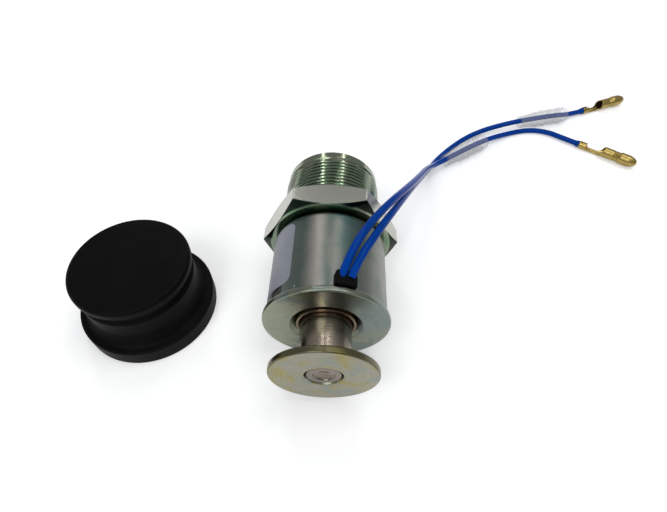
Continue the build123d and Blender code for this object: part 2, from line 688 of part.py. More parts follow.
# Rubber cap: its lip grips the case behind the end plate, and its roof clears the disc
groove_top = CAP_LIP_H + PLATE_T + CAP_ROOM
roof_z = CAP_LIP_H + PLATE_T + TRAVEL + STOP_GAP + DISC_T + CAP_END_ROOM
cap_h = roof_z + CAP_ROOF_T
neck_top = cap_h - CAP_TOP_T
with BuildPart() as rubber_cap:
    with BuildSketch(Plane.XZ) as wall:
        with BuildLine():
            Polyline(
                (0, cap_h),
                (CAP_TOP_R, cap_h),
                (CAP_TOP_R, neck_top),
                (CAP_NECK_R, neck_top - CAP_TOP_R + CAP_NECK_R),
                (CAP_NECK_R, neck_top - CAP_TOP_R + CAP_NECK_R - CAP_NECK_LEN),
                (CAP_BODY_R, neck_top - CAP_TOP_R + 2 * CAP_NECK_R - CAP_NECK_LEN - CAP_BODY_R),
                (CAP_BODY_R, CAP_BRIM_H),
                (CAP_BRIM_R, CAP_BRIM_H),
                (CAP_BRIM_R, 0),
                (CASE_R, 0),
                (CASE_R, CAP_LIP_H),
                (CAP_GROOVE_R, CAP_LIP_H),
                (CAP_GROOVE_R, groove_top),
                (CAP_CHAMBER_R, groove_top),
                (CAP_CHAMBER_R, roof_z),
                (0, roof_z),
                close=True,
            )
        make_face()
        outer_top = wall.vertices().filter_by(lambda v: abs(v.X - CAP_TOP_R) < 0.01)
        fillet(outer_top, CAP_TOP_EDGE_R)
        fillet(wall.vertices().filter_by(lambda v: abs(v.X - CAP_BRIM_R) < 0.01), CAP_BRIM_EDGE_R)
        root = wall.vertices().filter_by(lambda v: abs(v.X - CAP_BODY_R) < 0.01 and abs(v.Z - CAP_BRIM_H) < 0.01)
        fillet(root, CAP_FLARE_R)
    revolve(axis=Axis.Z)
rubber_cap.part = Pos(CAP_X, CAP_Y, FLOOR_Z) * rubber_cap.part
rubber_cap.part.label = "rubber_cap"
export_step(rubber_cap.part, "parts/rubber_cap.step")
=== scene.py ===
"""Finished model of a fuel shutoff solenoid with two leads and its loose rubber cap.

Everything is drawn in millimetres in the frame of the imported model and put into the
meshes in metres: the solenoid's axis is Y, its nose points to +Y and Z is up.
"""
import logging
from collections.abc import Callable
from dataclasses import dataclass, field
from enum import Enum
from math import atan2, cos, pi, radians, sin

import bmesh
import bpy
import numpy as np
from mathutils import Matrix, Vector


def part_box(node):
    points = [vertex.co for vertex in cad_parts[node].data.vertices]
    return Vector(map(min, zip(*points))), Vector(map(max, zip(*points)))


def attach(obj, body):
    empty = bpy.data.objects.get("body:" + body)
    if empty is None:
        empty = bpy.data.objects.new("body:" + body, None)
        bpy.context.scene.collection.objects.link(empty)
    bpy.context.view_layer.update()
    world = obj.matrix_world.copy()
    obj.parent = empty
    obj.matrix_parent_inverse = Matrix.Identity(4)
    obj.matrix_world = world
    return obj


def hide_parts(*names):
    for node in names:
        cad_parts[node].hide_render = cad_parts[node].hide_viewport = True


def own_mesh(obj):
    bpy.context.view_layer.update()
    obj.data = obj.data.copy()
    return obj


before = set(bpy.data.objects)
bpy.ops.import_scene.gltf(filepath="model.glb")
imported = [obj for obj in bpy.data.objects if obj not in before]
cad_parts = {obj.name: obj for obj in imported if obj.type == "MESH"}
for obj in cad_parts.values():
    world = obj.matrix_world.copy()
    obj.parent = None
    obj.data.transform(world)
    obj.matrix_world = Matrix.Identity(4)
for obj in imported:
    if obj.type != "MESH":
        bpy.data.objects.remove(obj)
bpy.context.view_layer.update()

MM = 0.001
ROOT = "solenoid"
MOVING = "plunger_group"
FLOOR_Z = -16.0
CASE_R = 14.7
CASE_FLOOR = 1.8
LEAD_SLOT_DEG = 15.0
LUG_SLOT_DEG = -52.0
CRIMP_R = 1.35
LOG = logging.getLogger("solenoid")
Color = tuple[float, float, float, float]
Point = tuple[float, float, float]
Table = tuple[tuple[float, float], ...]
Socket = bpy.types.NodeSocket


class Turn(Enum):
    """Which line a surface is turned about."""

    SOLENOID = "the solenoid's axis, along Y"
    UPRIGHT = "an upright line, along Z"
    TERMINAL = "a line along X"


def span(node: str) -> tuple[float, float]:
    """Returns where a CAD node starts and stops along the axis, in millimetres."""
    low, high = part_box(node)
    return low[1] / MM, high[1] / MM


def reach(node: str) -> float:
    """Returns a turned CAD node's outer radius in millimetres: half its box across the axis."""
    low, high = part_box(node)
    return (high[0] - low[0]) / 2 / MM


def graded(table: Table, places: np.ndarray) -> np.ndarray:
    """Reads a table of (place, value) at each place, with straight lines between its rows."""
    return np.interp(places, *zip(*table))


def unit(vectors: np.ndarray) -> tuple[np.ndarray, np.ndarray]:
    """Returns vectors at a length of one, and their lengths before."""
    size = np.linalg.norm(vectors, axis=-1, keepdims=True)
    return vectors / np.maximum(size, 1e-9), size


def rounded(corners: np.ndarray, radii: float | np.ndarray, steps: int = 5, closed: bool = True) -> np.ndarray:
    """Rounds the corners of one outline, or of a whole batch of them.

    Formula: an arc touches both runs of its corner at radius / tan(half the inner angle)
    from it, its centre lies on the bisector, and its points turn evenly from one touching
    point to the other. One more point stands just beyond each end of the arc.

    Args:
        corners: points as an array of shape (..., n, 2).
        radii: one radius, or one for each corner.
        steps: points on each arc.
        closed: whether the last corner joins the first.

    Returns:
        The outline as an array of shape (..., points, 2).
    """
    corners = np.asarray(corners, float)
    before, run_in = unit(np.roll(corners, 1, axis=-2) - corners)
    after, run_out = unit(np.roll(corners, -1, axis=-2) - corners)
    inner = np.arccos(np.clip((before * after).sum(-1, keepdims=True), -1, 1))
    radius = np.broadcast_to(np.asarray(radii, float), corners.shape[:-1])[..., None]
    shorter = np.minimum(run_in, run_out)
    touch = np.minimum(radius / np.tan(np.maximum(inner, 1e-3) / 2), 0.42 * shorter)
    radius = touch * np.tan(inner / 2)
    centre = corners + unit(before + after)[0] * np.hypot(touch, radius)
    first = corners + before * touch - centre
    last = corners + after * touch - centre
    swing = np.maximum(pi - inner, 1e-4)[..., None, :]
    share = np.linspace(0, 1, steps)[:, None]
    arc = np.sin((1 - share) * swing) * first[..., None, :] + np.sin(share * swing) * last[..., None, :]
    arc = arc / np.sin(np.minimum(swing, pi - 1e-4)) + centre[..., None, :]
    guard = np.minimum(0.12, 0.06 * shorter)
    lead_in = (corners + before * (touch + guard))[..., None, :]
    lead_out = (corners + after * (touch + guard))[..., None, :]
    points = np.concatenate([lead_in, arc, lead_out], axis=-2)
    if not closed:
        points = points[..., 1:-1, :, :]
    points = points.reshape(points.shape[:-3] + (-1, 2))
    if closed:
        return points
    return np.concatenate([corners[..., :1, :], points, corners[..., -1:, :]], axis=-2)


def filled(outline: np.ndarray, step: float) -> np.ndarray:
    """Adds even points to the long runs of one outline, so that its faces aren't too long.

    Formula: each run is cut into the fewest equal parts that aren't longer than the step.

    Args:
        outline: points of shape (n, 2), not closed.
        step: longest run that stays whole, in millimetres.

    Returns:
        The outline with the added points.
    """
    runs = np.linalg.norm(np.diff(outline, axis=0), axis=1)
    parts = np.maximum(np.ceil(runs / step).astype(int), 1)
    along = np.repeat(np.arange(len(runs)), parts)
    inside = np.arange(len(along)) - np.repeat(np.cumsum(parts) - parts, parts)
    share = (inside / parts[along])[:, None]
    points = outline[along] * (1 - share) + outline[along + 1] * share
    return np.vstack([points, outline[-1:]])


def turned(profile: np.ndarray, angles: np.ndarray, about: Turn = Turn.SOLENOID) -> np.ndarray:
    """Turns an outline about a line.

    Formula: a profile point (r, s) at angle a becomes (r sin a, s, r cos a) for the
    solenoid's axis, and the same with the directions exchanged for the other lines.

    Args:
        profile: (rows, 2) for one outline, or (columns, rows, 2) for one at each angle.
        angles: angle of each column in radians, from the top towards +X.
        about: the line that it is turned about.

    Returns:
        Grid of points of shape (rows, columns, 3) in millimetres.
    """
    if profile.ndim == 2:
        profile = np.broadcast_to(profile, (len(angles),) + profile.shape)
    radius, along = profile[..., 0].T, profile[..., 1].T
    across, up = radius * np.sin(angles), radius * np.cos(angles)
    order = {
        Turn.SOLENOID: (across, along, up),
        Turn.UPRIGHT: (up, across, along),
        Turn.TERMINAL: (along, across, up),
    }[about]
    return np.stack(order, axis=-1)


def even_angles(columns: int) -> np.ndarray:
    """Returns evenly spaced angles of a full turn in radians."""
    return np.linspace(0, 2 * pi, columns, endpoint=False)


def angle_from(angles: np.ndarray, centre: float) -> np.ndarray:
    """Returns how far angles lie from a centre, between minus and plus half a turn."""
    return np.mod(angles - centre + pi, 2 * pi) - pi


def laid(points: np.ndarray, turn: float, place: Point) -> np.ndarray:
    """Turns points about Z by an angle in radians and moves them to their place."""
    across = np.array([[cos(turn), sin(turn), 0], [-sin(turn), cos(turn), 0], [0, 0, 1]])
    return points @ across + np.array(place)


def shrunk_rings(outline: np.ndarray, shares: np.ndarray) -> np.ndarray:
    """Returns copies of an outline shrunk towards its middle, one for each share of its size."""
    middle = outline.mean(0)
    return middle + shares[:, None, None] * (outline - middle)


def grid_faces(rows: int, columns: int, ring: bool) -> np.ndarray:
    """Works out the four-sided faces of a grid of points.

    Args:
        rows: rows of the grid.
        columns: columns of the grid; the last always joins the first.
        ring: whether the last row joins the first too.

    Returns:
        Faces as indices of shape (faces, 4).
    """
    index = np.arange(rows * columns).reshape(rows, columns)
    if ring:
        index = np.vstack([index, index[:1]])
    index = np.hstack([index, index[:, :1]])
    corners = (index[:-1, :-1], index[:-1, 1:], index[1:, 1:], index[1:, :-1])
    return np.stack(corners, axis=-1).reshape(-1, 4)


def end_faces(rows: int, columns: int) -> np.ndarray:
    """Closes both ends of a folded strip: joins its outer half's points to its inner half's.

    Args:
        rows: rows of the grid.
        columns: points round the strip's section, first its outer side and then its inner.

    Returns:
        Faces as indices of shape (faces, 4).
    """
    index = np.arange(rows * columns).reshape(rows, columns)
    place = np.arange(columns // 2 - 1)
    pair = columns - 1 - place
    first, last = index[0], index[-1]
    start = np.stack([first[place + 1], first[place], first[pair], first[pair - 1]], axis=-1)
    stop = np.stack([last[place], last[place + 1], last[pair - 1], last[pair]], axis=-1)
    return np.vstack([start, stop])


def into_scene(name: str, data: bpy.types.ID) -> bpy.types.Object:
    """Makes an object in the scene.

    Args:
        name: name of the object.
        data: its mesh, curve, camera or lamp.

    Returns:
        The new object.
    """
    made = bpy.data.objects.new(name, data)
    bpy.context.collection.objects.link(made)
    return made


def make_piece(name: str, grid: np.ndarray, ring: bool, sharp_deg: float = 40,
               more_faces: np.ndarray | None = None) -> bpy.types.Object:
    """Makes a smooth closed mesh object whose faces point outwards.

    Points that coincide, as at a pole, are merged. The sign of the mesh's volume says
    which way its faces point, and they are turned if it is negative.

    Args:
        name: name of the piece.
        grid: points in millimetres, of shape (rows, columns, 3).
        ring: whether the last row joins the first.
        sharp_deg: edges that fold by more than this stay sharp.
        more_faces: faces beside those of the grid, as indices of shape (faces, 4).

    Returns:
        The new object, in the scene.
    """
    faces = grid_faces(*grid.shape[:2], ring)
    if more_faces is not None:
        faces = np.vstack([faces, more_faces])
    points = grid.reshape(-1, 3) * MM
    corner = points[faces]
    volume = np.einsum("ij,ij->i", corner[:, 0], np.cross(corner[:, 1], corner[:, 2])).sum()
    volume += np.einsum("ij,ij->i", corner[:, 0], np.cross(corner[:, 2], corner[:, 3])).sum()
    if volume < 0:
        faces = faces[:, ::-1]
    mesh = bpy.data.meshes.new(name)
    mesh.from_pydata(points, [], faces.tolist())
    shape = bmesh.new()
    shape.from_mesh(mesh)
    bmesh.ops.remove_doubles(shape, verts=shape.verts, dist=1e-8)
    shape.to_mesh(mesh)
    shape.free()
    mesh.shade_smooth()
    mesh.set_sharp_from_angle(angle=radians(sharp_deg))
    return into_scene(name, mesh)


def lathe(name: str, profile: np.ndarray, columns: int = 192, closed: bool = True,
          about: Turn = Turn.SOLENOID, centre: Point = (0, 0, 0)) -> bpy.types.Object:
    """Makes a turned piece.

    Args:
        name: name of the piece.
        profile: its outline as (radius, place along the axis).
        columns: faces round it.
        closed: True for a ring, False where the outline starts and stops on the axis.
        about: the line that it is turned about.
        centre: a point of that line, in millimetres.

    Returns:
        The new object.
    """
    return make_piece(name, turned(profile, even_angles(columns), about) + np.array(centre), closed)


def place_on(piece: bpy.types.Object, material: bpy.types.Material, body: str, slot: str,
             *nodes: str) -> bpy.types.Object:
    """Finishes a piece: its material, the body it rides on and the CAD nodes it stands for.

    Args:
        piece: the piece.
        material: its material.
        body: the moving body that it rides on.
        slot: its material slot; not used.
        nodes: CAD nodes that it stands for, if any.

    Returns:
        The piece.
    """
    piece.data.materials.append(material)
    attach(piece, body)
    if nodes:
        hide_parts(*nodes)
    LOG.info("%s rides on %s for %s", piece.name, body, ", ".join(nodes) or "no node")
    return piece


@dataclass
class Graph:
    """The nodes of one material or node group."""

    tree: bpy.types.NodeTree

    def feed(self, node: bpy.types.Node, sockets: dict) -> bpy.types.Node:
        """Gives a node's inputs a value, or a link from another node's output.

        Args:
            node: the node.
            sockets: values or output sockets, by the input's name or number.

        Returns:
            The node.
        """
        for key, value in sockets.items():
            if isinstance(value, Socket):
                self.tree.links.new(value, node.inputs[key])
            else:
                node.inputs[key].default_value = value
        return node

    def add(self, kind: str, sockets: dict | None = None, **settings) -> bpy.types.Node:
        """Adds a node.

        Args:
            kind: the node's type, without its ShaderNode prefix.
            sockets: values of input sockets, or output sockets to link to them, by name or number.
            settings: the node's own settings.

        Returns:
            The new node.
        """
        node = self.tree.nodes.new(kind if kind.startswith("Node") else "ShaderNode" + kind)
        for key, value in settings.items():
            setattr(node, key, value)
        return self.feed(node, sockets or {})

    def math(self, operation: str, first, second=0.0) -> Socket:
        """Adds a Math node on sockets or numbers and returns its result."""
        return self.add("Math", {0: first, 1: second}, operation=operation).outputs[0]

    def times(self, first, second) -> Socket:
        """Returns a product."""
        return self.math("MULTIPLY", first, second)

    def plus(self, first, second) -> Socket:
        """Returns a sum."""
        return self.math("ADD", first, second)

    def minus(self, first, second) -> Socket:
        """Returns a difference."""
        return self.math("SUBTRACT", first, second)

    def radius(self, x: Socket, z: Socket) -> Socket:
        """Returns the distance from the Y axis: the root of x squared plus z squared."""
        return self.math("SQRT", self.plus(self.times(x, x), self.times(z, z)))

    def parts(self, vector: Socket) -> list[Socket]:
        """Returns the x, y and z of a vector."""
        return list(self.add("SeparateXYZ", {0: vector}).outputs)

    def joined(self, x: Socket, y: Socket, z: Socket) -> Socket:
        """Returns the vector of an x, a y and a z."""
        return self.add("CombineXYZ", {0: x, 1: y, 2: z}).outputs[0]

    def blend(self, factor, first, second) -> Socket:
        """Adds a colour Mix node and returns its result."""
        return self.add("Mix", {0: factor, 6: first, 7: second}, data_type="RGBA").outputs[2]

    def ramp(self, factor: Socket, low: float | Socket, high: float | Socket) -> Socket:
        """Adds a smooth step from 0 at low to 1 at high and returns its result."""
        return self.add("MapRange", {0: factor, 1: low, 2: high}, interpolation_type="SMOOTHSTEP").outputs[0]

    def noise(self, vector: Socket, scale: float | Socket, detail: float, **more: float) -> Socket:
        """Adds a noise texture, with more of its inputs by name, and returns its value."""
        return self.add("TexNoise", {"Vector": vector, "Scale": scale, "Detail": detail, **more}).outputs[0]

    def bump(self, height: Socket, strength: float | Socket, distance: float) -> Socket:
        """Adds a Bump node and returns its normal."""
        sockets = {"Strength": strength, "Distance": distance, "Height": height}
        return self.add("Bump", sockets).outputs[0]

    def effect(self, effect: "Effect", sockets: dict) -> dict[str, Socket]:
        """Adds the node group of an effect and returns its outputs by name."""
        return self.add("Group", sockets, node_tree=effect.ready()).outputs


@dataclass
class Effect:
    """A shader node group that finishes share: drawn when it is first used, and then kept."""

    name: str
    inputs: dict[str, tuple[str, float | None]]
    outputs: dict[str, str]
    draw: Callable[[Graph, dict], dict[str, Socket]]
    tree: bpy.types.NodeTree | None = None

    def ready(self) -> bpy.types.NodeTree:
        """Draws the node group, unless it is there already.

        Returns:
            The node group.
        """
        if self.tree is None:
            self.tree = bpy.data.node_groups.new(self.name, "ShaderNodeTree")
            new_socket = self.tree.interface.new_socket
            for label, (kind, value) in self.inputs.items():
                socket = new_socket(label, in_out="INPUT", socket_type="NodeSocket" + kind)
                if value is not None:
                    socket.default_value = value
            for label, kind in self.outputs.items():
                new_socket(label, in_out="OUTPUT", socket_type="NodeSocket" + kind)
            g = Graph(self.tree)
            into, out = g.add("NodeGroupInput"), g.add("NodeGroupOutput")
            g.feed(out, self.draw(g, into.outputs))
        return self.tree


def draw_grain(g: Graph, into: dict) -> dict[str, Socket]:
    """Fine lines that a lathe leaves: noise of the distance from the axis and the place along it.

    Args:
        g: graph of the group.
        into: inputs of the group.

    Returns:
        Outputs of the group.
    """
    x, y, z = g.parts(into["Vector"])
    around = g.times(g.math("ARCTAN2", x, z), 2.5)
    scaled = g.joined(g.times(g.radius(x, z), into["Lines"]), g.times(y, into["Lines"]), around)
    noise = g.noise(scaled, 1.0, 3.0, Roughness=0.65)
    return {"Value": noise, "Normal": g.bump(noise, into["Depth"], 0.0001)}


def draw_tint(g: Graph, into: dict) -> dict[str, Socket]:
    """Clouds of two tints over a plating's own colour, with a mask of the second one.

    Args:
        g: graph of the group.
        into: inputs of the group.

    Returns:
        Outputs of the group.
    """
    vector, scale, amount = into["Vector"], into["Scale"], into["Amount"]
    wide = g.noise(vector, scale, 2.0, Distortion=0.9)
    shifted = g.add("VectorMath", {0: vector, 1: (0.031, 0.017, -0.023)}, operation="ADD").outputs[0]
    other = g.noise(shifted, scale, 3.0, Distortion=1.6)
    color = g.blend(g.times(g.ramp(wide, 0.43, 0.61), amount), into["Base"], into["Warm"])
    cool = g.times(g.ramp(other, 0.47, 0.65), amount)
    return {"Color": g.blend(cool, color, into["Cool"]), "Mask": cool}


def draw_reflection_zones(g: Graph, into: dict) -> dict[str, Socket]:
    """Painted reflections: a warm and a cool zone along the axis, masks of the angle from the top with a wavy edge,
    that lay a lamp's highlight and a mirrored tint into the colour.

    Args:
        g: graph of the group.
        into: inputs of the group.

    Returns:
        Outputs of the group.
    """
    x, y, z = g.parts(into["Vector"])
    wave = g.minus(g.noise(into["Vector"], 90.0, 2.0), 0.5)
    turn = g.plus(g.math("ARCTAN2", x, z), g.times(wave, 0.25))
    amount = g.times(g.math("GREATER_THAN", y, into["Start"]), into["Amount"])
    color = into["Base"]
    for key in ("Warm", "Cool"):
        away = g.math("ABSOLUTE", g.minus(turn, into[f"{key} Turn"]))
        color = g.blend(g.times(g.ramp(away, into["Width"], 0.03), amount), color, into[key])
    return {"Color": color}


def draw_hexagon(g: Graph, into: dict) -> dict[str, Socket]:
    """Masks of a hexagon's flats and of its bevelled corners, the latter for painted shade.

    Formula: with r the distance from the axis, a bevel's cone lies (r - bevel radius)
    tan 30 degrees inside the hexagon's end, and the flats lie between both cones.

    Args:
        g: graph of the group.
        into: inputs of the group.

    Returns:
        Outputs of the group.
    """
    x, y, z = g.parts(into["Vector"])
    over = g.math("MAXIMUM", g.minus(g.radius(x, z), into["Bevel Radius"]), 0.0)
    drop = g.times(over, 0.577)
    rear = g.minus(g.minus(y, into["Back"]), drop)
    fore = g.minus(g.times(y, -1.0), drop)
    between = g.ramp(g.math("MINIMUM", rear, fore), 0.00006, 0.00022)
    flats = g.times(between, g.ramp(over, 0.00008, 0.00025))
    # painted shade: the bevels' mask rises towards the hexagon's corners
    bevel_shade = g.times(g.minus(1.0, between), g.ramp(over, 0.00032, 0.0006))
    return {"Flats": flats, "Bevels": bevel_shade}


def draw_speckle(g: Graph, into: dict) -> dict[str, Socket]:
    """Fine spots and pits: a mask of small noise above a threshold, and a bump of it.

    Args:
        g: graph of the group.
        into: inputs of the group.

    Returns:
        Outputs of the group.
    """
    noise = g.noise(into["Vector"], into["Scale"], 4.0)
    mask = g.add("MapRange", {0: noise, 1: into["Level"], 2: g.plus(into["Level"], 0.16)}).outputs[0]
    return {"Mask": mask, "Normal": g.bump(noise, into["Depth"], 0.00008)}


VECTOR = {"Vector": ("Vector", None)}
TINTS = {key: ("Color", None) for key in ("Base", "Warm", "Cool")}
TURNED_GRAIN = Effect("turned_grain", {**VECTOR, "Lines": ("Float", 9000.0), "Depth": ("Float", 0.15)},
                      {"Value": "Float", "Normal": "Vector"}, draw_grain)
PLATING_TINT = Effect("plating_tint", {**VECTOR, "Scale": ("Float", 60.0), **TINTS, "Amount": ("Float", 0.5)},
                      {"Color": "Color", "Mask": "Float"}, draw_tint)
# painted reflections: colour zones at fixed angles round the axis that stand in for mirrored lamps and room
PAINTED_REFLECTIONS = Effect("painted_reflections", {
    **VECTOR, **TINTS, "Warm Turn": ("Float", 0.0), "Cool Turn": ("Float", 0.0), "Width": ("Float", 0.25),
    "Amount": ("Float", 0.5), "Start": ("Float", -1.0)}, {"Color": "Color"}, draw_reflection_zones)
HEXAGON_FACES = Effect("hexagon_faces", {**VECTOR, "Bevel Radius": ("Float", 0.0157), "Back": ("Float", -0.0072)},
                       {"Flats": "Float", "Bevels": "Float"}, draw_hexagon)
SPECKLE = Effect("speckle", {
    **VECTOR, "Scale": ("Float", 4000.0), "Level": ("Float", 0.5), "Depth": ("Float", 0.1)},
    {"Mask": "Float", "Normal": "Vector"}, draw_speckle)


def new_material(name: str) -> tuple[bpy.types.Material, Graph, bpy.types.Node, Socket]:
    """Starts a material.

    Args:
        name: name of the material.

    Returns:
        The material, its graph, its Principled shader and its object coordinates.
    """
    material = bpy.data.materials.new(name)
    material.use_nodes = True
    g = Graph(material.node_tree)
    return material, g, g.tree.nodes["Principled BSDF"], g.add("TexCoord").outputs["Object"]


@dataclass(frozen=True)
class PlatedSteel:
    """Plated and turned steel: clouded tint, lathe lines and fine spots, with painted reflections in angle zones
    and painted shade on a hexagon's bevels where set.
    """

    name: str
    base: Color
    warm: Color
    cool: Color
    roughness: float = 0.28
    tint: float = 0.5
    tint_scale: float = 60.0
    lines: float = 9000.0
    line_depth: float = 0.12
    spots: float = 0.12
    spot_color: Color = (0.12, 0.11, 0.10, 1)
    # painted reflections: angles, amount, width and start of the zones that lay mirrored lamp and room colours into
    # the plating
    reflection_warm_turn: float = 0.0
    reflection_cool_turn: float = 0.0
    reflection_amount: float = 0.0
    reflection_width: float = 0.25
    reflection_start: float = -1.0
    rim_radius: float = 0.0
    rim: Color = (0.10, 0.09, 0.04, 1)
    ring_shade: float = 0.10
    ring_color: Color = (0.05, 0.05, 0.05, 1)
    arcs: float = 0.0
    flats: Color | None = None
    # painted shade: the near-black colour laid on the hexagon's bevelled corners
    bevel_shade: Color = (0.03, 0.05, 0.035, 1)

    def build(self) -> bpy.types.Material:
        """Makes the material.

        Formula: the tint's clouds are stretched into arcs where arcs is set, which takes
        their place at one radius and adds the radius as a third direction. Painted reflection
        zones, spots, lathe lines, rim and hexagon (bevels in painted shade) are laid over them in that order.

        Returns:
            The material.
        """
        material, g, shader, place = new_material(self.name)
        x, _, z = g.parts(place)
        radius = g.radius(x, z)
        cloud_place, depth = place, self.line_depth
        if self.arcs:
            away = g.math("DIVIDE", self.arcs, g.math("MAXIMUM", radius, 0.001))
            cloud_place = g.joined(g.times(x, away), g.times(z, away), g.times(radius, 1.5))
        colors = {"Warm": self.warm, "Cool": self.cool}
        tint = g.effect(PLATING_TINT, {
            "Vector": cloud_place, "Scale": self.tint_scale, "Base": self.base, **colors, "Amount": self.tint})
        if self.flats:
            masks = g.effect(HEXAGON_FACES, {"Vector": place})
            plain = g.minus(1.0, masks["Flats"])
            depth = g.times(plain, self.line_depth)
        grain = g.effect(TURNED_GRAIN, {"Vector": place, "Lines": self.lines, "Depth": depth})
        speck = g.effect(SPECKLE, {"Vector": place, "Scale": 5200.0, "Level": 0.58, "Depth": 0.05})
        color = tint["Color"]
        # painted reflections: the warm and cool colours laid in at fixed angles round the axis
        if self.reflection_amount:
            color = g.effect(PAINTED_REFLECTIONS, {
                "Vector": place, "Base": color, **colors, "Warm Turn": self.reflection_warm_turn, "Cool Turn": self.reflection_cool_turn,
                "Width": self.reflection_width, "Amount": self.reflection_amount, "Start": self.reflection_start})["Color"]
        color = g.blend(g.times(speck["Mask"], self.spots), color, self.spot_color)
        shade = g.ramp(grain["Value"], 0.3, 0.7)
        if self.flats:
            shade = g.times(shade, plain)
        color = g.blend(g.times(shade, self.ring_shade), color, self.ring_color)
        if self.rim_radius:
            edge = g.ramp(radius, self.rim_radius, self.rim_radius + 0.0003)
            color = g.blend(g.times(edge, 0.8), color, self.rim)
        rough = g.plus(g.plus(self.roughness, g.times(shade, 0.10)), g.times(tint["Mask"], 0.06))
        if self.flats:
            color = g.blend(g.times(masks["Flats"], 0.85), color, self.flats)
            # painted shade on the bevelled corners
            color = g.blend(g.times(masks["Bevels"], 0.96), color, self.bevel_shade)
            rough = g.plus(rough, g.times(masks["Flats"], 0.16))
        g.feed(shader, {"Base Color": color, "Roughness": rough, "Normal": grain["Normal"], "Metallic": 1.0})
        return material


@dataclass(frozen=True)
class BrassStrip:
    """Bright brass strip with a tarnish in patches and fine spots."""

    name: str = "brass_strip"
    base: Color = (0.40, 0.30, 0.095, 1)
    dark: Color = (0.22, 0.13, 0.04, 1)
    roughness: float = 0.32

    def build(self) -> bpy.types.Material:
        """Makes the material.

        Returns:
            The material.
        """
        material, g, shader, place = new_material(self.name)
        fine = g.effect(SPECKLE, {"Vector": place, "Scale": 3800.0, "Level": 0.56, "Depth": 0.03})
        patches = g.times(g.ramp(g.noise(place, 420.0, 3.0), 0.45, 0.72), 0.4)
        tarnish = g.math("MAXIMUM", patches, g.times(fine["Mask"], 0.15))
        g.feed(shader, {
            "Base Color": g.blend(tarnish, self.base, self.dark), "Metallic": 1.0, "Normal": fine["Normal"],
            "Roughness": g.plus(self.roughness, g.times(tarnish, 0.3))})
        return material


@dataclass(frozen=True)
class Plain:
    """A finish that isn't metal: two shades in clouds, a fine surface and a soft gloss."""

    name: str
    base: Color
    second: Color
    roughness: float = 0.5
    cloud_scale: float = 160.0
    fine_scale: float = 3000.0
    depth: float = 0.15
    specular: float = 0.5
    alpha: float = 1.0
    outline: float = 0.0

    def build(self) -> bpy.types.Material:
        """Makes the material; a clear one gets denser where it is seen at a grazing angle.

        Returns:
            The material.
        """
        material, g, shader, place = new_material(self.name)
        mix = g.ramp(g.noise(place, self.cloud_scale, 4.0, Roughness=0.6), 0.38, 0.66)
        fine = g.effect(SPECKLE, {"Vector": place, "Scale": self.fine_scale, "Level": 0.5, "Depth": self.depth})
        g.feed(shader, {
            "Base Color": g.blend(mix, self.base, self.second), "Normal": fine["Normal"],
            "Roughness": g.plus(self.roughness, g.times(fine["Mask"], 0.08)), "Specular IOR Level": self.specular})
        if self.alpha < 1:
            grazing = g.math("POWER", g.add("LayerWeight", {0: 0.5}).outputs["Facing"], 3.0)
            g.feed(shader, {"Alpha": g.plus(self.alpha, g.times(grazing, self.outline))})
        return material


# painted highlight: a warm streak left of the top; painted reflection: a teal zone right of it
GREEN_ZINC = PlatedSteel(
    "green_zinc", (0.145, 0.182, 0.160, 1), (0.370, 0.330, 0.300, 1), (0.082, 0.160, 0.150, 1),
    roughness=0.33, tint=0.45, line_depth=0.10, reflection_warm_turn=-0.20, reflection_cool_turn=0.36, reflection_amount=0.75)
# bevels in painted shade: near black towards the hexagon's corners
NOSE_ZINC = PlatedSteel(
    "nose_zinc", (0.22, 0.28, 0.20, 1), (0.29, 0.30, 0.22, 1), (0.11, 0.23, 0.12, 1),
    roughness=0.09, tint=0.6, line_depth=0.03, flats=(0.49, 0.475, 0.425, 1), bevel_shade=(0.010, 0.017, 0.012, 1))
# painted reflections: a lighter green zone on the plate's left and a darker teal zone on its right
PLATE_ZINC = PlatedSteel(
    "plate_zinc", (0.26, 0.265, 0.195, 1), (0.265, 0.295, 0.215, 1), (0.155, 0.20, 0.20, 1),
    roughness=0.22, tint=0.7, tint_scale=110.0, spots=0.3, reflection_warm_turn=-1.5, reflection_cool_turn=1.3, reflection_amount=0.8, reflection_width=1.1)
YELLOW_ZINC = PlatedSteel(
    "yellow_zinc", (0.30, 0.285, 0.215, 1), (0.31, 0.26, 0.075, 1), (0.25, 0.29, 0.26, 1),
    roughness=0.26, tint=0.85, tint_scale=105.0, lines=4200.0, spots=0.25, rim_radius=0.0123, ring_shade=0.22,
    arcs=0.0075)
# painted highlight: one broad lighter zone along the top of the plunger, past its start along the axis
DARK_NICKEL = PlatedSteel(
    "dark_nickel", (0.175, 0.150, 0.122, 1), (0.42, 0.35, 0.28, 1), (0.42, 0.35, 0.28, 1),
    roughness=0.20, tint=0.1, line_depth=0.08, spots=0.4, reflection_amount=0.9, reflection_width=0.80, reflection_start=-0.0433)
BRIGHT_STEEL = PlatedSteel(
    "bright_steel", (0.50, 0.47, 0.43, 1), (0.48, 0.42, 0.36, 1), (0.42, 0.44, 0.44, 1),
    roughness=0.18, tint=0.3, line_depth=0.06)
TUBE_STEEL = PlatedSteel(
    "tarnished_tube", (0.20, 0.145, 0.095, 1), (0.19, 0.12, 0.07, 1), (0.17, 0.16, 0.12, 1),
    roughness=0.20, line_depth=0.05)
SPRING_STEEL = PlatedSteel(
    "spring_steel", (0.30, 0.30, 0.32, 1), (0.26, 0.23, 0.21, 1), (0.32, 0.34, 0.38, 1),
    roughness=0.3, tint=0.4, line_depth=0.02)
COPPER = PlatedSteel(
    "enamelled_copper", (0.52, 0.20, 0.08, 1), (0.60, 0.26, 0.12, 1), (0.38, 0.13, 0.05, 1),
    roughness=0.3, lines=2600.0, line_depth=0.9)
BRASS = BrassStrip()
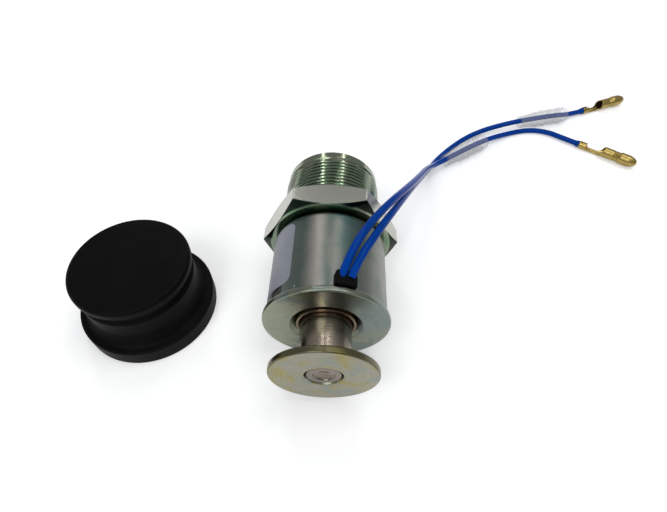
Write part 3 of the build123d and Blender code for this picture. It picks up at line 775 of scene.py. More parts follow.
RUBBER = Plain("moulded_rubber", (0.0022, 0.0020, 0.0026, 1), (0.0036, 0.0032, 0.0040, 1),
               cloud_scale=120.0, fine_scale=2600.0, depth=0.10, specular=0.06)
BLACK_PLASTIC = Plain("black_plastic", (0.008, 0.007, 0.007, 1), (0.014, 0.012, 0.012, 1), roughness=0.4)
BLUE_PVC = Plain("blue_pvc", (0.0006, 0.040, 0.27, 1), (0.0010, 0.048, 0.31, 1), roughness=0.12,
                 cloud_scale=90.0, fine_scale=2400.0, depth=0.02, specular=0.05)
CLEAR_VINYL = Plain("clear_vinyl", (0.46, 0.47, 0.49, 1), (0.50, 0.51, 0.53, 1),
                    cloud_scale=200.0, fine_scale=500.0, depth=0.0, specular=0.1, alpha=0.14, outline=0.30)
LABEL_FILM = Plain("label_film", (0.20, 0.215, 0.25, 1), (0.225, 0.24, 0.275, 1), roughness=0.4, depth=0.05)
TAPE_FILM = Plain("tape_film", (0.62, 0.50, 0.16, 1), (0.66, 0.55, 0.22, 1), roughness=0.3)


@dataclass(frozen=True)
class PhotoCamera:
    """The camera that the photo's ellipses give: place, direction and focal length."""

    focal_px: float = 450.5
    frame_px: tuple[int, int] = (667, 512)
    pitch_deg: float = 52.44
    heading_deg: float = 1.84
    place: Point = (3.43, -84.53, 95.83)
    sensor: float = 36.0

    def build(self) -> None:
        """Makes the camera and sets it as the scene's own.

        Formula: the lens is the focal length in pixels over the frame's width in pixels,
        times the sensor's width.
        """
        data = bpy.data.cameras.new("photo_camera")
        data.sensor_width = self.sensor
        data.lens = self.focal_px / self.frame_px[0] * self.sensor
        data.clip_start = 0.005
        camera = into_scene("photo_camera", data)
        camera.location = np.array(self.place) * MM
        camera.rotation_euler = (radians(90 - self.pitch_deg), 0, radians(self.heading_deg))
        bpy.context.scene.camera = camera


@dataclass
class Leads:
    """Two blue leads with their bullet terminals and clear sleeves, lying on the table."""

    wire_r: float = 0.95
    sleeved_z: float = FLOOR_Z + 3.9
    lengths: tuple[float, float] = (151.3, 162.5)

    def over_slot(self, across: float, along: float, height: float) -> Point:
        """Works out a point over the lead slot.

        Formula: the case's radius plus the height is turned by the slot's angle, and the
        place across the slot is laid off square to it.

        Args:
            across: place across the slot, in millimetres.
            along: place along the axis, from the case's back.
            height: height over the case.

        Returns:
            The point in millimetres.
        """
        turn = radians(LEAD_SLOT_DEG)
        out = CASE_R + height
        return (across * cos(turn) + out * sin(turn), span("case_shell")[0] + along,
                out * cos(turn) - across * sin(turn))

    @property
    def routes(self) -> dict[str, list[Point]]:
        """Lays out both leads.

        Returns:
            The points of each route in millimetres, from the grommet to the terminal.
        """
        wire_z, ring_z, sleeved_z = FLOOR_Z + self.wire_r, FLOOR_Z + CRIMP_R, self.sleeved_z
        return {
            "a": [
                self.over_slot(-0.65, 2.3, 0.86), self.over_slot(0.25, 6.4, 3.28), (8.6, -17.1, 18.9),
                (14.2, -8.1, 17.6), (20.4, 4.1, 11.4), (25.8, 16.9, 3.8), (30.2, 29.0, -3.7),
                (36.0, 40.9, sleeved_z), (54.2, 54.5, sleeved_z), (66.4, 63.3, wire_z), (75.5, 66.1, wire_z),
                (82.6, 64.9, wire_z + 0.15), (87.7, 60.8, ring_z), (92.8, 57.3, ring_z),
            ],
            "b": [
                self.over_slot(1.46, 2.3, 1.12), self.over_slot(2.54, 6.0, 3.27), (11.0, -17.9, 17.8),
                (16.0, -7.3, 14.8), (22.2, 9.1, 5.8), (27.5, 24.7, -5.0), (32.6, 38.3, -13.0),
                (40.8, 51.3, wire_z), (52.6, 62.7, wire_z), (66.8, 66.3, sleeved_z), (86.0, 71.8, sleeved_z),
                (94.3, 76.3, ring_z), (100.4, 78.9, ring_z),
            ],
        }

    def wire(self, name: str, route: np.ndarray) -> bpy.types.Object:
        """Makes one wire as a smooth round curve.

        Args:
            name: name of the wire.
            route: its control points in metres, of shape (points, 3).

        Returns:
            The curve object.
        """
        curve = bpy.data.curves.new(name, "CURVE")
        curve.dimensions = "3D"
        curve.resolution_u = 16
        curve.bevel_depth = self.wire_r * MM
        curve.bevel_resolution = 6
        curve.use_fill_caps = True
        spline = curve.splines.new("NURBS")
        spline.points.add(len(route) - 1)
        spline.points.foreach_set("co", np.hstack([route, np.ones((len(route), 1))]).ravel())
        spline.order_u = 3
        spline.use_endpoint_u = True
        return into_scene(name, curve)

    def build(self) -> None:
        """Makes wires, terminals and sleeves."""
        blue, brass, copper, vinyl = (finish.build() for finish in (BLUE_PVC, BRASS, COPPER, CLEAR_VINYL))
        for (key, route), length in zip(self.routes.items(), self.lengths):
            points = np.array(route)
            wire = self.wire(f"blue_lead_{key}", points * MM)
            place_on(wire, blue, ROOT, "lead_blue", f"lead_wire_{key}")
            on_cord = BulletTerminal(key, points[-2], points[-1]).build(brass, copper, blue)
            sleeve = ClearSleeve(key).build(vinyl)


@dataclass
class BulletTerminal:
    """Bullet terminal folded from one brass strip: crimp ring, open channel, rolled barrel and nose.

    It is drawn along its own x from the wire's end, with the table at its own z of 0. The
    tables give the strip's wrap to each side in degrees, its radius and its centre's height.
    """

    key: str
    before_end: np.ndarray
    end: np.ndarray
    strip: float = 0.4
    length: float = 20.5
    taper_start: float = 17.2
    wrap_deg: Table = (
        (0, 166), (2.5, 166), (2.85, 60), (7.8, 62), (8.2, 90), (9.2, 172), (9.4, 179.3), (20.5, 179.3))
    radii: Table = ((0, CRIMP_R), (6.8, CRIMP_R), (8.1, 1.85), (14.45, 1.85), (14.8, 2.05), (20.5, 2.05))
    heights: Table = ((0, CRIMP_R), (6.8, CRIMP_R), (8.1, 2.05), (20.5, 2.05))
    grooves: tuple[float, ...] = (12.6, 13.3, 14.0)
    groove_width: float = 0.15
    groove_depth: float = 0.2
    edge_round: float = 0.1
    rib_run: tuple[float, float] = (3.2, 6.6)
    rib_step: float = 0.62
    rib_height: float = 0.07
    columns: int = 72

    def to_table(self, points: np.ndarray) -> np.ndarray:
        """Turns and moves points from the terminal's own frame to its place on the table."""
        heading = self.end - self.before_end
        return laid(points, atan2(heading[1], heading[0]), (self.end[0], self.end[1], FLOOR_Z))

    def stations(self) -> np.ndarray:
        """Places the strip's sections, close together where they change.

        Returns:
            Places along the terminal in millimetres.
        """
        marks = [0, 0.04, 0.15, 1.3, 2.3, 2.5, 2.65, 2.85, 3.2, 6.6, 7.6, 8.0, 8.2, 8.5, 8.9, 9.2, 9.5, 12.2, 14.0,
                 14.8, 14.95, 15.2, self.taper_start, self.length - 0.9, self.length - 0.25, self.length - 0.05,
                 self.length]
        counts = [1, 2, 4, 4, 3, 3, 3, 3, 44, 5, 5, 6, 8, 6, 6, 4, 6, 26, 6, 6, 4, 6, 14, 12, 6, 4]
        runs = [np.linspace(a, b, n, endpoint=False) for a, b, n in zip(marks[:-1], marks[1:], counts)]
        return np.concatenate(runs + [np.array([self.length])])

    def strip_grid(self) -> np.ndarray:
        """Works out the folded strip.

        Formula: at each place u along it, the strip is an arc of radius R(u) that reaches
        w(u) to both sides of its lowest line, round a centre at height c(u). R has three
        fine grooves before the nose and shrinks to a round tip. The inner side lies the
        strip's thickness further in, with ribs across the channel.

        Returns:
            Grid of points: rows along the terminal, columns round the section, outer side first.
        """
        u = self.stations()
        wrap, radius, centre = (graded(table, u) for table in (self.wrap_deg, self.radii, self.heights))
        groove = np.exp(-(((u[:, None] - np.array(self.grooves)) / self.groove_width) ** 2)).sum(1)
        radius = radius - self.groove_depth * groove
        share = np.clip((u - self.taper_start) / (self.length - self.taper_start), 0, 1)
        radius = radius * (1 - 0.5 * share**1.7) * np.sqrt(1 - share**9)
        edge = np.clip(u / 0.15, 0, 1)
        radius = radius - self.edge_round * (1 - np.sqrt(1 - (1 - edge) ** 2))
        start, stop = self.rib_run
        wave = np.clip(np.sin(2 * pi * (u - start) / self.rib_step), 0, 1)
        ribs = self.rib_height * wave * ((u > start) & (u < stop))
        thick = np.minimum(self.strip + ribs, radius)
        side = np.linspace(-1, 1, self.columns // 2)
        angle = radians(1) * wrap[:, None] * np.sign(side) * np.abs(side) ** 0.9
        inner_u = np.minimum(u, self.length - self.strip)
        sides = []
        for r, x, a in ((radius, u, angle), (radius - thick, inner_u, angle[:, ::-1])):
            r, x = r[:, None], x[:, None]
            up = centre[:, None] - r * np.cos(a)
            sides.append(np.stack([np.broadcast_to(x, a.shape), r * np.sin(a), up], -1))
        return np.concatenate(sides, axis=1)

    def strands(self) -> np.ndarray:
        """Works out the bared strands in the crimp ring.

        Formula: a tube whose radius swells seven times round it, for its seven strands,
        twisted along its length and cut off square.

        Returns:
            Grid of points from end to end.
        """
        u = np.concatenate([[-0.3, -0.3], np.linspace(-0.3, 3.3, 24), [3.3]])
        size = np.concatenate([[0, 0.97], np.ones(24), [0]])
        angle = even_angles(84)
        lobes = 0.40 + 0.17 * np.abs(np.cos(3.5 * (angle[None, :] + 0.5 * u[:, None])))
        r = size[:, None] * lobes
        x = np.broadcast_to(u[:, None], r.shape)
        return np.stack([x, r * np.sin(angle), CRIMP_R - 0.22 + r * np.cos(angle)], axis=-1)

    def insulation_end(self) -> np.ndarray:
        """Returns the grid of the wire's own end: a short collar that flares where the crimp squeezes it."""
        outline = rounded([[0.62, -0.05], [1.16, -0.05], [1.2, -0.7], [0.97, -1.5], [0.62, -1.5]], 0.12)
        return turned(outline, even_angles(64), Turn.TERMINAL) + np.array([0, 0, CRIMP_R])

    def build(self, brass: bpy.types.Material, copper: bpy.types.Material,
              blue: bpy.types.Material) -> list[bpy.types.Object]:
        """Makes the terminal, the bared strands and the flared end of the insulation.

        Args:
            brass: material of the terminal.
            copper: material of the strands.
            blue: material of the insulation.

        Returns:
            The three pieces.
        """
        grid = self.to_table(self.strip_grid())
        terminal = make_piece(f"bullet_{self.key}", grid, False, 50, end_faces(*grid.shape[:2]))
        strands = make_piece(f"bared_strands_{self.key}", self.to_table(self.strands()), False, 60)
        collar = make_piece(f"insulation_end_{self.key}", self.to_table(self.insulation_end()), True)
        return [
            place_on(terminal, brass, ROOT, "brass", f"terminal_{self.key}"),
            place_on(strands, copper, ROOT, "copper_winding"),
            place_on(collar, blue, ROOT, "lead_blue"),
        ]


@dataclass
class ClearSleeve:
    """Soft clear sleeve round a lead: narrow back end, widest past the middle, a fine step in its middle.

    The shares are a table of its radius along its length, both in shares of the whole. The
    rows say where its sections lie: from, to and how many. A place is x, y and the angle
    from X in degrees.
    """

    key: str
    length: float = 20.0
    radius: float = 3.25
    wall: float = 0.45
    shares: Table = (
        (0, 0.70), (0.1, 0.74), (0.42, 0.95), (0.5, 0.98), (0.52, 0.945), (0.86, 0.99), (0.96, 0.93), (1.0, 0.86))
    rows: tuple[tuple[float, float, int], ...] = ((0, 9.8, 40), (9.9, 10.5, 12), (10.7, 20, 50))
    places: dict[str, Point] = field(default_factory=lambda: {"a": (39.6, 43.6, 36.8), "b": (71.6, 67.75, 16.3)})

    def grid(self) -> np.ndarray:
        """Works out the sleeve's wall.

        Formula: the outer radius follows a few heights along its length, smoothed by a
        cosine between them, less shallow dents that wander round it. The inner radius is
        a wall less.

        Returns:
            Closed grid of points in the sleeve's own frame, x along it.
        """
        marks, heights = np.array(self.shares).T * [[self.length], [self.radius]]
        along = np.concatenate([np.linspace(*run) for run in self.rows])
        low = np.clip(np.searchsorted(marks, along, side="right") - 1, 0, len(marks) - 2)
        share = (along - marks[low]) / (marks[low + 1] - marks[low])
        ease = (1 - np.cos(pi * share)) / 2
        outer = heights[low] * (1 - ease) + heights[low + 1] * ease
        profile = np.vstack([
            np.stack([outer, along], -1),
            np.stack([outer[-1:] - self.wall / 2, along[-1:] + 0.12], -1),
            np.stack([outer - self.wall, along], -1)[::-1],
            np.stack([outer[:1] - self.wall / 2, along[:1] - 0.12], -1),
        ])
        angle = even_angles(96)
        grid = turned(profile, angle, Turn.TERMINAL)
        x = grid[..., 0]
        dent = 0.05 * np.sin(1.9 * x + 2 * angle) + 0.04 * np.sin(0.8 * x - 3 * angle + 1) - 0.09
        grid[..., 1:] *= (1 + dent * 0.5)[..., None]
        return grid

    def build(self, vinyl: bpy.types.Material) -> bpy.types.Object:
        """Makes the sleeve in its place on the table.

        Args:
            vinyl: material of the sleeve.

        Returns:
            The sleeve.
        """
        x, y, turn = self.places[self.key]
        grid = laid(self.grid(), radians(turn), (x, y, FLOOR_Z + self.radius))
        sleeve = make_piece(f"clear_sleeve_{self.key}", grid, True)
        return place_on(sleeve, vinyl, ROOT, "sleeve_clear", f"sleeve_{self.key}")


@dataclass
class NoseBody:
    """Hexagon, threaded nose, spigot and pole core, turned from one bar."""

    thread_r: float = 13.425
    pitch: float = 1.25
    thread_depth: float = 0.60
    thread_len: float = 13.3
    crest_share: float = 0.50
    flank_share: float = 0.38
    pilot_r: float = 13.15
    nose_end: float = 16.3
    hex_flats: float = 32.0
    hex_back: float = -7.2
    bevel_r: float = 15.7
    bevel_deg: float = 30.0
    edge_r: float = 0.35
    core_bore: float = 4.7
    core_r: float = 6.25
    boss_r: float = 9.0
    seal_bore: float = 5.0
    bushing_bore: float = 4.0
    rod_bore: float = 2.9
    chamber_end: float = -14
    sector_steps: int = 24
    rows_per_pitch: int = 14

    def angles(self) -> np.ndarray:
        """Spreads the columns, closer together at the hexagon's corners.

        Formula: in each sector of 60 degrees, the angle from its corner grows with the
        power 1.8 of an even step.

        Returns:
            Angles from the top in radians.
        """
        step = np.arange(-self.sector_steps, self.sector_steps) / self.sector_steps
        inside = radians(30) * np.sign(step) * np.abs(step) ** 1.8
        corners = radians(30) + radians(60) * np.arange(6)
        return (corners[:, None] + inside[None, :]).ravel()

    def hex_radius(self, angles: np.ndarray) -> np.ndarray:
        """Works out how far the hexagon's outline is from the axis.

        Formula: half the width over flats, divided by the cosine of the angle from the
        middle of the flat, and near a corner the far side of a small circle that touches
        both flats.

        Args:
            angles: angles from the top in radians.

        Returns:
            Radius at each angle.
        """
        half = radians(30)
        from_corner = np.mod(angles, 2 * half) - half
        flat = self.hex_flats / 2 / np.cos(half - np.abs(from_corner))
        centre = (self.hex_flats / 2 - self.edge_r) / cos(half)
        under = np.maximum(self.edge_r**2 - (centre * np.sin(from_corner)) ** 2, 0)
        arc = centre * np.cos(from_corner) + np.sqrt(under)
        touch = np.arctan2(self.edge_r * sin(half), centre + self.edge_r * cos(half))
        return np.where(np.abs(from_corner) < touch, arc, flat)

    def thread(self, angles: np.ndarray) -> np.ndarray:
        """Works out the thread's rows.

        Formula: the radius falls from the crest by the thread's depth times how far the
        point is from the nearest crest, measured along the axis in pitches after taking
        off the turn's share of a pitch. The groove gets shallower towards the hexagon and
        a bevel cuts the last crest.

        Args:
            angles: angles of the columns in radians.

        Returns:
            Profile rows of shape (columns, rows, 2).
        """
        rows = int(self.thread_len / self.pitch * self.rows_per_pitch)
        y = np.linspace(0.12, self.thread_len, rows)[None, :]
        phase = np.mod(y / self.pitch - angles[:, None] / (2 * pi), 1)
        away = np.abs(phase - 0.5) * 2
        height = 1 - np.clip((away - self.crest_share) / self.flank_share, 0, 1)
        height = height * height * (3 - 2 * height) * 0.35 + height * 0.65
        shallow = np.clip(y / 1.1, 0.15, 1)
        radius = self.thread_r - self.thread_depth * (1 - height) * shallow
        bevel = self.pilot_r - 0.55 + (self.thread_len - y) * 0.9
        radius = np.minimum(radius, np.maximum(bevel, self.thread_r - self.thread_depth))
        return np.stack([radius, np.broadcast_to(y, radius.shape)], axis=-1)

    def profiles(self, angles: np.ndarray) -> np.ndarray:
        """Joins spigot, hexagon, thread, pilot and bores into one closed outline per column.

        Formula: a bevel drops by the tangent of its angle times how far the hexagon's
        outline lies beyond the bevel's start.

        Args:
            angles: angles of the columns in radians.

        Returns:
            Outlines of shape (columns, rows, 2).
        """
        hexagon = self.hex_radius(angles)
        drop = (hexagon - self.bevel_r) * np.tan(radians(self.bevel_deg))
        pole, floor = span("pole_shim")[1], span("case_shell")[1] - CASE_FLOOR
        bushing, chamber = span("rod_bushing"), span("spring_washer")[1]
        seal, root = bushing[1] + 0.05, self.thread_r - self.thread_depth
        back = [
            (self.core_bore, pole), (self.core_r, pole), (self.core_r, floor), (self.boss_r, floor),
            (self.boss_r, self.hex_back), (self.bevel_r, self.hex_back), (hexagon, self.hex_back + drop),
            (hexagon, -drop), (self.bevel_r, 0), (self.thread_r - 0.2, 0),
        ]
        ones = np.ones_like(hexagon)
        rear = np.stack([np.stack([r * ones, y * ones], -1) for r, y in back], axis=1)
        lead = rounded(rear, 0.14, 4, closed=False)
        front = [
            (root, self.thread_len + 0.15), (self.pilot_r - 0.35, self.thread_len + 0.2),
            (self.pilot_r, self.thread_len + 0.5), (self.pilot_r, self.nose_end - 0.5),
            (self.pilot_r - 0.5, self.nose_end), (self.seal_bore + 0.25, self.nose_end),
            (self.seal_bore, self.nose_end - 0.25), (self.seal_bore, seal), (self.bushing_bore, seal),
            (self.bushing_bore, bushing[0]), (self.rod_bore, bushing[0]), (self.rod_bore, chamber),
            (self.core_bore, chamber), (self.core_bore, self.chamber_end),
        ]
        tail = rounded(front, 0.12, 4, closed=False)
        tail = np.broadcast_to(tail, (len(angles),) + tail.shape)
        return np.concatenate([lead, self.thread(angles), tail], axis=1)

    def build(self) -> None:
        """Makes the nose body."""
        angles = self.angles()
        body = make_piece("threaded_nose", turned(self.profiles(angles), angles), True, 32)
        place_on(body, NOSE_ZINC.build(), ROOT, "nose_steel", "nose_body")


@dataclass
class Case:
    """Drawn cup with two slots and three stake marks in its open edge."""

    bore: float = 13.1
    slot_w: float = 4.4
    slot_len: float = 3.8
    slot_corner: float = 1.0
    slots_deg: tuple[float, float] = (LEAD_SLOT_DEG, LUG_SLOT_DEG)
    stakes_deg: tuple[float, ...] = (-27.7, 92.3, 212.3)
    stake_r: float = 0.42
    stake_depth: float = 0.28
    shoulder: float = 2.0
    hole_r: float = 9.02
    lip: Table = ((0.28, 0.0), (0.14, 0.02), (0.05, 0.06), (0.0, 0.13))
    ends: tuple[float, float] = field(default_factory=lambda: span("case_shell"))

    def angles(self) -> np.ndarray:
        """Spreads the columns: even ones, and close ones at the slots and the stake marks.

        Returns:
            Sorted angles from the top in radians.
        """
        half = self.slot_w / 2 / CASE_R
        near = np.concatenate([
            -half + np.array([-0.012, -0.004, 0, 0.0015]), np.linspace(-half + 0.008, half - 0.008, 40),
            half - np.array([0.0015, 0, -0.004, -0.012]),
        ])
        slots = (np.radians(self.slots_deg)[:, None] + near[None, :]).ravel()
        spot = np.linspace(-0.04, 0.04, 13)
        stakes = (np.radians(self.stakes_deg)[:, None] + spot[None, :]).ravel()
        every = np.concatenate([even_angles(240), np.mod(slots, 2 * pi), np.mod(stakes, 2 * pi)])
        return np.unique(np.round(every, 6))

    def edge(self, angles: np.ndarray) -> np.ndarray:
        """Works out where the open edge lies.

        Formula: the slot's depth inside a slot, less a quarter circle at its two inner
        corners, and the plain edge outside it.

        Args:
            angles: angles of the columns in radians.

        Returns:
            The edge's place along the axis at each angle.
        """
        deep = np.zeros_like(angles)
        for centre in np.radians(self.slots_deg):
            across = np.abs(angle_from(angles, centre)) * CASE_R
            over = np.clip(across - (self.slot_w / 2 - self.slot_corner), 0, self.slot_corner)
            corner = self.slot_corner - np.sqrt(np.maximum(self.slot_corner**2 - over**2, 0))
            deep = np.where(across < self.slot_w / 2 - 0.01, self.slot_len - corner, deep)
        return self.ends[0] + deep

    def dimples(self, angles: np.ndarray, y: np.ndarray) -> np.ndarray:
        """Works out the stake marks, a round pit each.

        Formula: the depth falls with the fourth power of the distance from the mark's
        middle, as a share of its radius.

        Args:
            angles: angles of the columns in radians.
            y: places along the axis, of shape (columns, rows).

        Returns:
            Depth of the pits, of shape (columns, rows).
        """
        depth = np.zeros((len(angles), y.shape[-1]))
        for centre in np.radians(self.stakes_deg):
            across = angle_from(angles, centre)[:, None] * CASE_R
            away = np.hypot(across, y - (self.ends[0] + 1.0))
            depth += self.stake_depth * np.clip(1 - (away / self.stake_r) ** 4, 0, 1)
        return depth

    def build(self) -> None:
        """Makes the case.

        Formula: its outline runs over the rounded edge, the outer wall less the stake
        marks, a quarter circle at the shoulder, the floor and the bore.
        """
        back, front = self.ends
        angles = self.angles()
        edge = self.edge(angles)[:, None]
        near = np.linspace(back + 0.22, back + 1.9, 15)
        far = np.linspace(back + 2.2, front - self.shoulder - 0.2, 22)
        stations = np.concatenate([near, far])[None, :]
        y = np.maximum(stations, edge + 0.16 + 0.02 * np.arange(stations.shape[1]))
        outer = np.stack([CASE_R - self.dimples(angles, y), y], -1)
        lip = np.array(self.lip)
        rim_in, rim_out = (
            np.stack([np.broadcast_to(radius, (len(angles), len(lip))), edge + rise], -1)
            for radius, rise in ((self.bore + lip[::-1, 0] * 0.7, lip[::-1, 1]), (CASE_R - lip[:, 0], lip[:, 1])))
        turn = np.linspace(0, pi / 2, 12)
        bend = np.stack([CASE_R - self.shoulder + self.shoulder * np.cos(turn),
                         front - self.shoulder + self.shoulder * np.sin(turn)], -1)
        floor = front - CASE_FLOOR
        corners = [(12.5, front), (self.hole_r, front), (self.hole_r, floor), (self.bore, floor),
                   (self.bore, back + 4.6)]
        inside = rounded(corners, 0.1, 3, closed=False)
        cap = np.broadcast_to(np.vstack([bend, inside]), (len(angles), len(bend) + len(inside), 2))
        grid = turned(np.concatenate([rim_in, rim_out, outer, cap], axis=1), angles)
        place_on(make_piece("drawn_case", grid, True, 35), GREEN_ZINC.build(), ROOT, "case_zinc", "case_shell")


@dataclass
class BareLabel:
    """Thin bare film on the left of the case, with rounded corners."""

    film: float = 0.07
    right_deg: float = -34.5
    left_deg: float = -118.0
    low: float = -27.8
    high: float = -9.6
    corner: float = 2.2

    def build(self) -> None:
        """Makes the film.

        Formula: a rounded rectangle in arc length and height, shrunk towards its middle
        ring by ring and wrapped round the case.
        """
        left, right = radians(self.left_deg) * CASE_R, radians(self.right_deg) * CASE_R
        box = [(left, self.low), (right, self.low), (right, self.high), (left, self.high)]
        outline = rounded(box, self.corner, 9)
        outline = filled(np.vstack([outline, outline[:1]]), 0.5)[:-1]
        flat = shrunk_rings(outline, np.array([0, 0.25, 0.5, 0.75, 0.9, 0.985, 1.0, 1.0, 0.9, 0.5, 0.0]))
        height = np.array([1, 1, 1, 1, 1, 1, 0.75, -0.4, -0.4, -0.4, -0.4]) * self.film
        angle = flat[..., 0] / CASE_R
        radius = CASE_R + height[:, None]
        grid = np.stack([radius * np.sin(angle), flat[..., 1], radius * np.cos(angle)], -1)
        place_on(make_piece("bare_label", grid, False, 50), LABEL_FILM.build(), ROOT, "winding_tape")


@dataclass
class TurnedPart:
    """A piece turned about the solenoid's axis from one outline with rounded corners."""

    name: str
    node: str
    corners: list[tuple[float, float]]
    radii: float | list[float]
    steps: int
    material: bpy.types.Material
    slot: str
    body: str = ROOT
    columns: int = 192
    closed: bool = True

    def build(self) -> None:
        """Makes the piece."""
        outline = rounded(self.corners, self.radii, self.steps, self.closed)
        piece = lathe(self.name, outline, self.columns, self.closed)
        place_on(piece, self.material, self.body, self.slot, self.node)


@dataclass
class AxisPieces:
    """The other turned pieces on the solenoid's axis."""

    rivet_rise: float = 0.35
    bobbin_len: float = 16.6
    rod_bore: float = 2.56

    def seen(self) -> list[TurnedPart]:
        """Lays out the pieces that show at the ends: plate, tube, plunger, disc, rod and bobbin.

        Returns:
            The pieces.
        """
        (face, end), back = span("end_plate"), span("case_shell")[0]
        plate = TurnedPart(
            "closing_plate", "end_plate",
            [(7.5, face + 1.3), (8.8, face), (15.5, face), (15.5, back), (13.05, back), (13.05, end), (7.5, end)],
            [0.3, 0.35, 0.5, 0.45, 0.1, 0.2, 0.2], 7, PLATE_ZINC.build(), "plate_zinc")
        low, high = span("guide_tube")
        tube = TurnedPart(
            "bright_guide_tube", "guide_tube",
            [(6.26, low + 0.5), (6.75, low), (7.28, low), (7.28, high), (6.26, high)],
            [0.3, 0.12, 0.15, 0.1, 0.1], 5, TUBE_STEEL.build(), "tube_steel")
        disc_face, disc_back = span("plunger_disc")
        rivet, tail = disc_face + self.rivet_rise, span("plunger")[1]
        plunger = TurnedPart(
            "turned_plunger", "plunger",
            [(0, rivet + 1.0), (0.3, rivet + 0.85), (1.2, rivet + 0.6), (2.4, rivet + 0.38), (2.6, rivet + 0.03),
             (3.1, rivet), (4.0, rivet + 0.05), (4.2, rivet + 0.7), (4.28, disc_back), (6.2, disc_back),
             (6.2, tail), (2.52, tail), (2.52, tail - 8), (0, tail - 8)],
            [0.1, 0.1, 0.4, 0.3, 0.12, 0.4, 0.18, 0.1, 0.05, 0.05, 0.35, 0.1, 0.1, 0.1], 6,
            DARK_NICKEL.build(), "plunger_nickel", MOVING, closed=False)
        disc = TurnedPart(
            "yellow_disc", "plunger_disc",
            [(4.32, disc_back), (4.32, disc_face + 0.75), (4.6, disc_face + 0.12), (5.4, disc_face + 0.03),
             (12.7, disc_face), (12.7, disc_back)],
            [0.1, 0.2, 0.3, 0.5, 0.42, 0.5], 7, YELLOW_ZINC.build(), "disc_zinc", MOVING)
        low, high = span("push_rod")
        rod = TurnedPart(
            "ground_rod", "push_rod", [(0, low), (2.5, low), (2.5, high - 0.5), (2.0, high), (0, high)],
            0.15, 5, BRIGHT_STEEL.build(), "rod_steel", MOVING, 96, False)
        low = end + 0.05
        high = low + self.bobbin_len
        bobbin = TurnedPart(
            "bobbin_spool", "coil_bobbin",
            [(7.33, low), (12.9, low), (12.9, low + 1.2), (8.33, low + 1.2), (8.33, high - 1.2), (12.9, high - 1.2),
             (12.9, high), (7.33, high)],
            0.12, 3, BLACK_PLASTIC.build(), "bobbin_plastic", columns=128)
        return [plate, tube, plunger, disc, rod, bobbin]

    def rings(self) -> None:
        """Makes the rings inside: winding, tape, cushion, shim, washer, bushing, seal retainer and seal.

        Formula: a ring's outline is a rectangle of its node's length, from its bore to the
        node's radius, and the seal's is an ellipse between the same places.
        """
        brass, black, copper, steel, tape = (
            finish.build() for finish in (BRASS, RUBBER, COPPER, BRIGHT_STEEL, TAPE_FILM))
        inner = {
            "coil_winding": (8.38, copper, "copper_winding"), "winding_tape": (12.05, tape, "winding_tape"),
            "coil_cushion": (8.33, black, "rubber_black"), "pole_shim": (4.9, brass, "brass"),
            "spring_washer": (2.9, steel, "washer_steel"), "rod_bushing": (self.rod_bore, brass, "brass"),
            "seal_retainer": (2.9, steel, "washer_steel"),
        }
        for node, (bore, material, slot) in inner.items():
            (low, high), outer = span(node), reach(node)
            corners = [(bore, low), (outer, low), (outer, high), (bore, high)]
            TurnedPart(f"ring_{node}", node, corners, 0.08, 3, material, slot, columns=128).build()
        (low, high), outer = span("rod_seal"), reach("rod_seal")
        turn = even_angles(40)
        centre = (outer + self.rod_bore) / 2
        section = np.stack([centre + (outer - centre) * np.cos(turn),
                            (low + high) / 2 + (high - low) / 2 * np.sin(turn)], -1)
        place_on(lathe("ring_rod_seal", section, 128), black, ROOT, "rubber_black", "rod_seal")

    def build(self) -> None:
        """Makes all of them."""
        for part in self.seen():
            part.build()
        self.rings()


@dataclass
class SlotBlocks:
    """The grommet in the lead slot, its raised head and the bobbin's lug in the other slot.

    A block's sizes are its angle from the top in degrees, its width, its length and the
    radii of its lower and upper faces.
    """

    grommet: tuple[float, ...] = (LEAD_SLOT_DEG, 4.3, 3.72, 13.05, 14.68)
    head: tuple[float, ...] = (16.2, 5.0, 3.85, 14.3, 16.35)
    lug: tuple[float, ...] = (LUG_SLOT_DEG, 4.25, 3.7, 12.6, 14.5)
    corner_r: float = 1.0
    back: float = field(default_factory=lambda: span("case_shell")[0])

    def block(self, name: str, angle_deg: float, width: float, length: float, bottom: float,
              top: float) -> bpy.types.Object:
        """Makes a block with rounded far corners and a rounded upper edge.

        Formula: its outline is shrunk a little for the last rings, and each ring is
        closed at the middle.

        Args:
            name: name of the piece.
            angle_deg: the slot's angle from the top.
            width: width across the slot.
            length: length along the axis.
            bottom: radius of its lower face.
            top: radius of its upper face.

        Returns:
            The block.
        """
        half = width / 2
        box = [(-half, 0.05), (half, 0.05), (half, length), (-half, length)]
        outline = rounded(box, [0.12, 0.12, self.corner_r, self.corner_r], 8)
        inset = np.array([0.32, 0.16, 0.06, 0.015, 0]) / half
        flat = shrunk_rings(outline, np.concatenate([[0, 0.5], 1 - inset, [1, 1, 0.5, 0]]))
        sink = np.array([0, 0.03, 0.1, 0.2, 0.32])
        height = np.concatenate([[top, top], top - sink, [(top + bottom) / 2, bottom, bottom, bottom]])
        turn = radians(angle_deg)
        across, along = flat[..., 0], flat[..., 1] + self.back
        out = np.broadcast_to(height[:, None], across.shape)
        grid = [across * cos(turn) + out * sin(turn), along, -across * sin(turn) + out * cos(turn)]
        return make_piece(name, np.stack(grid, -1), False)

    def build(self) -> None:
        """Makes the grommet, its raised head round the leads, and the lug."""
        black, plastic = RUBBER.build(), BLACK_PLASTIC.build()
        grommet = self.block("lead_grommet", *self.grommet)
        place_on(grommet, black, ROOT, "rubber_black", "wire_grommet")
        head = self.block("grommet_head", *self.head)
        place_on(head, black, ROOT, "rubber_black")
        lug = self.block("bobbin_lug", *self.lug)
        place_on(lug, plastic, ROOT, "bobbin_plastic")


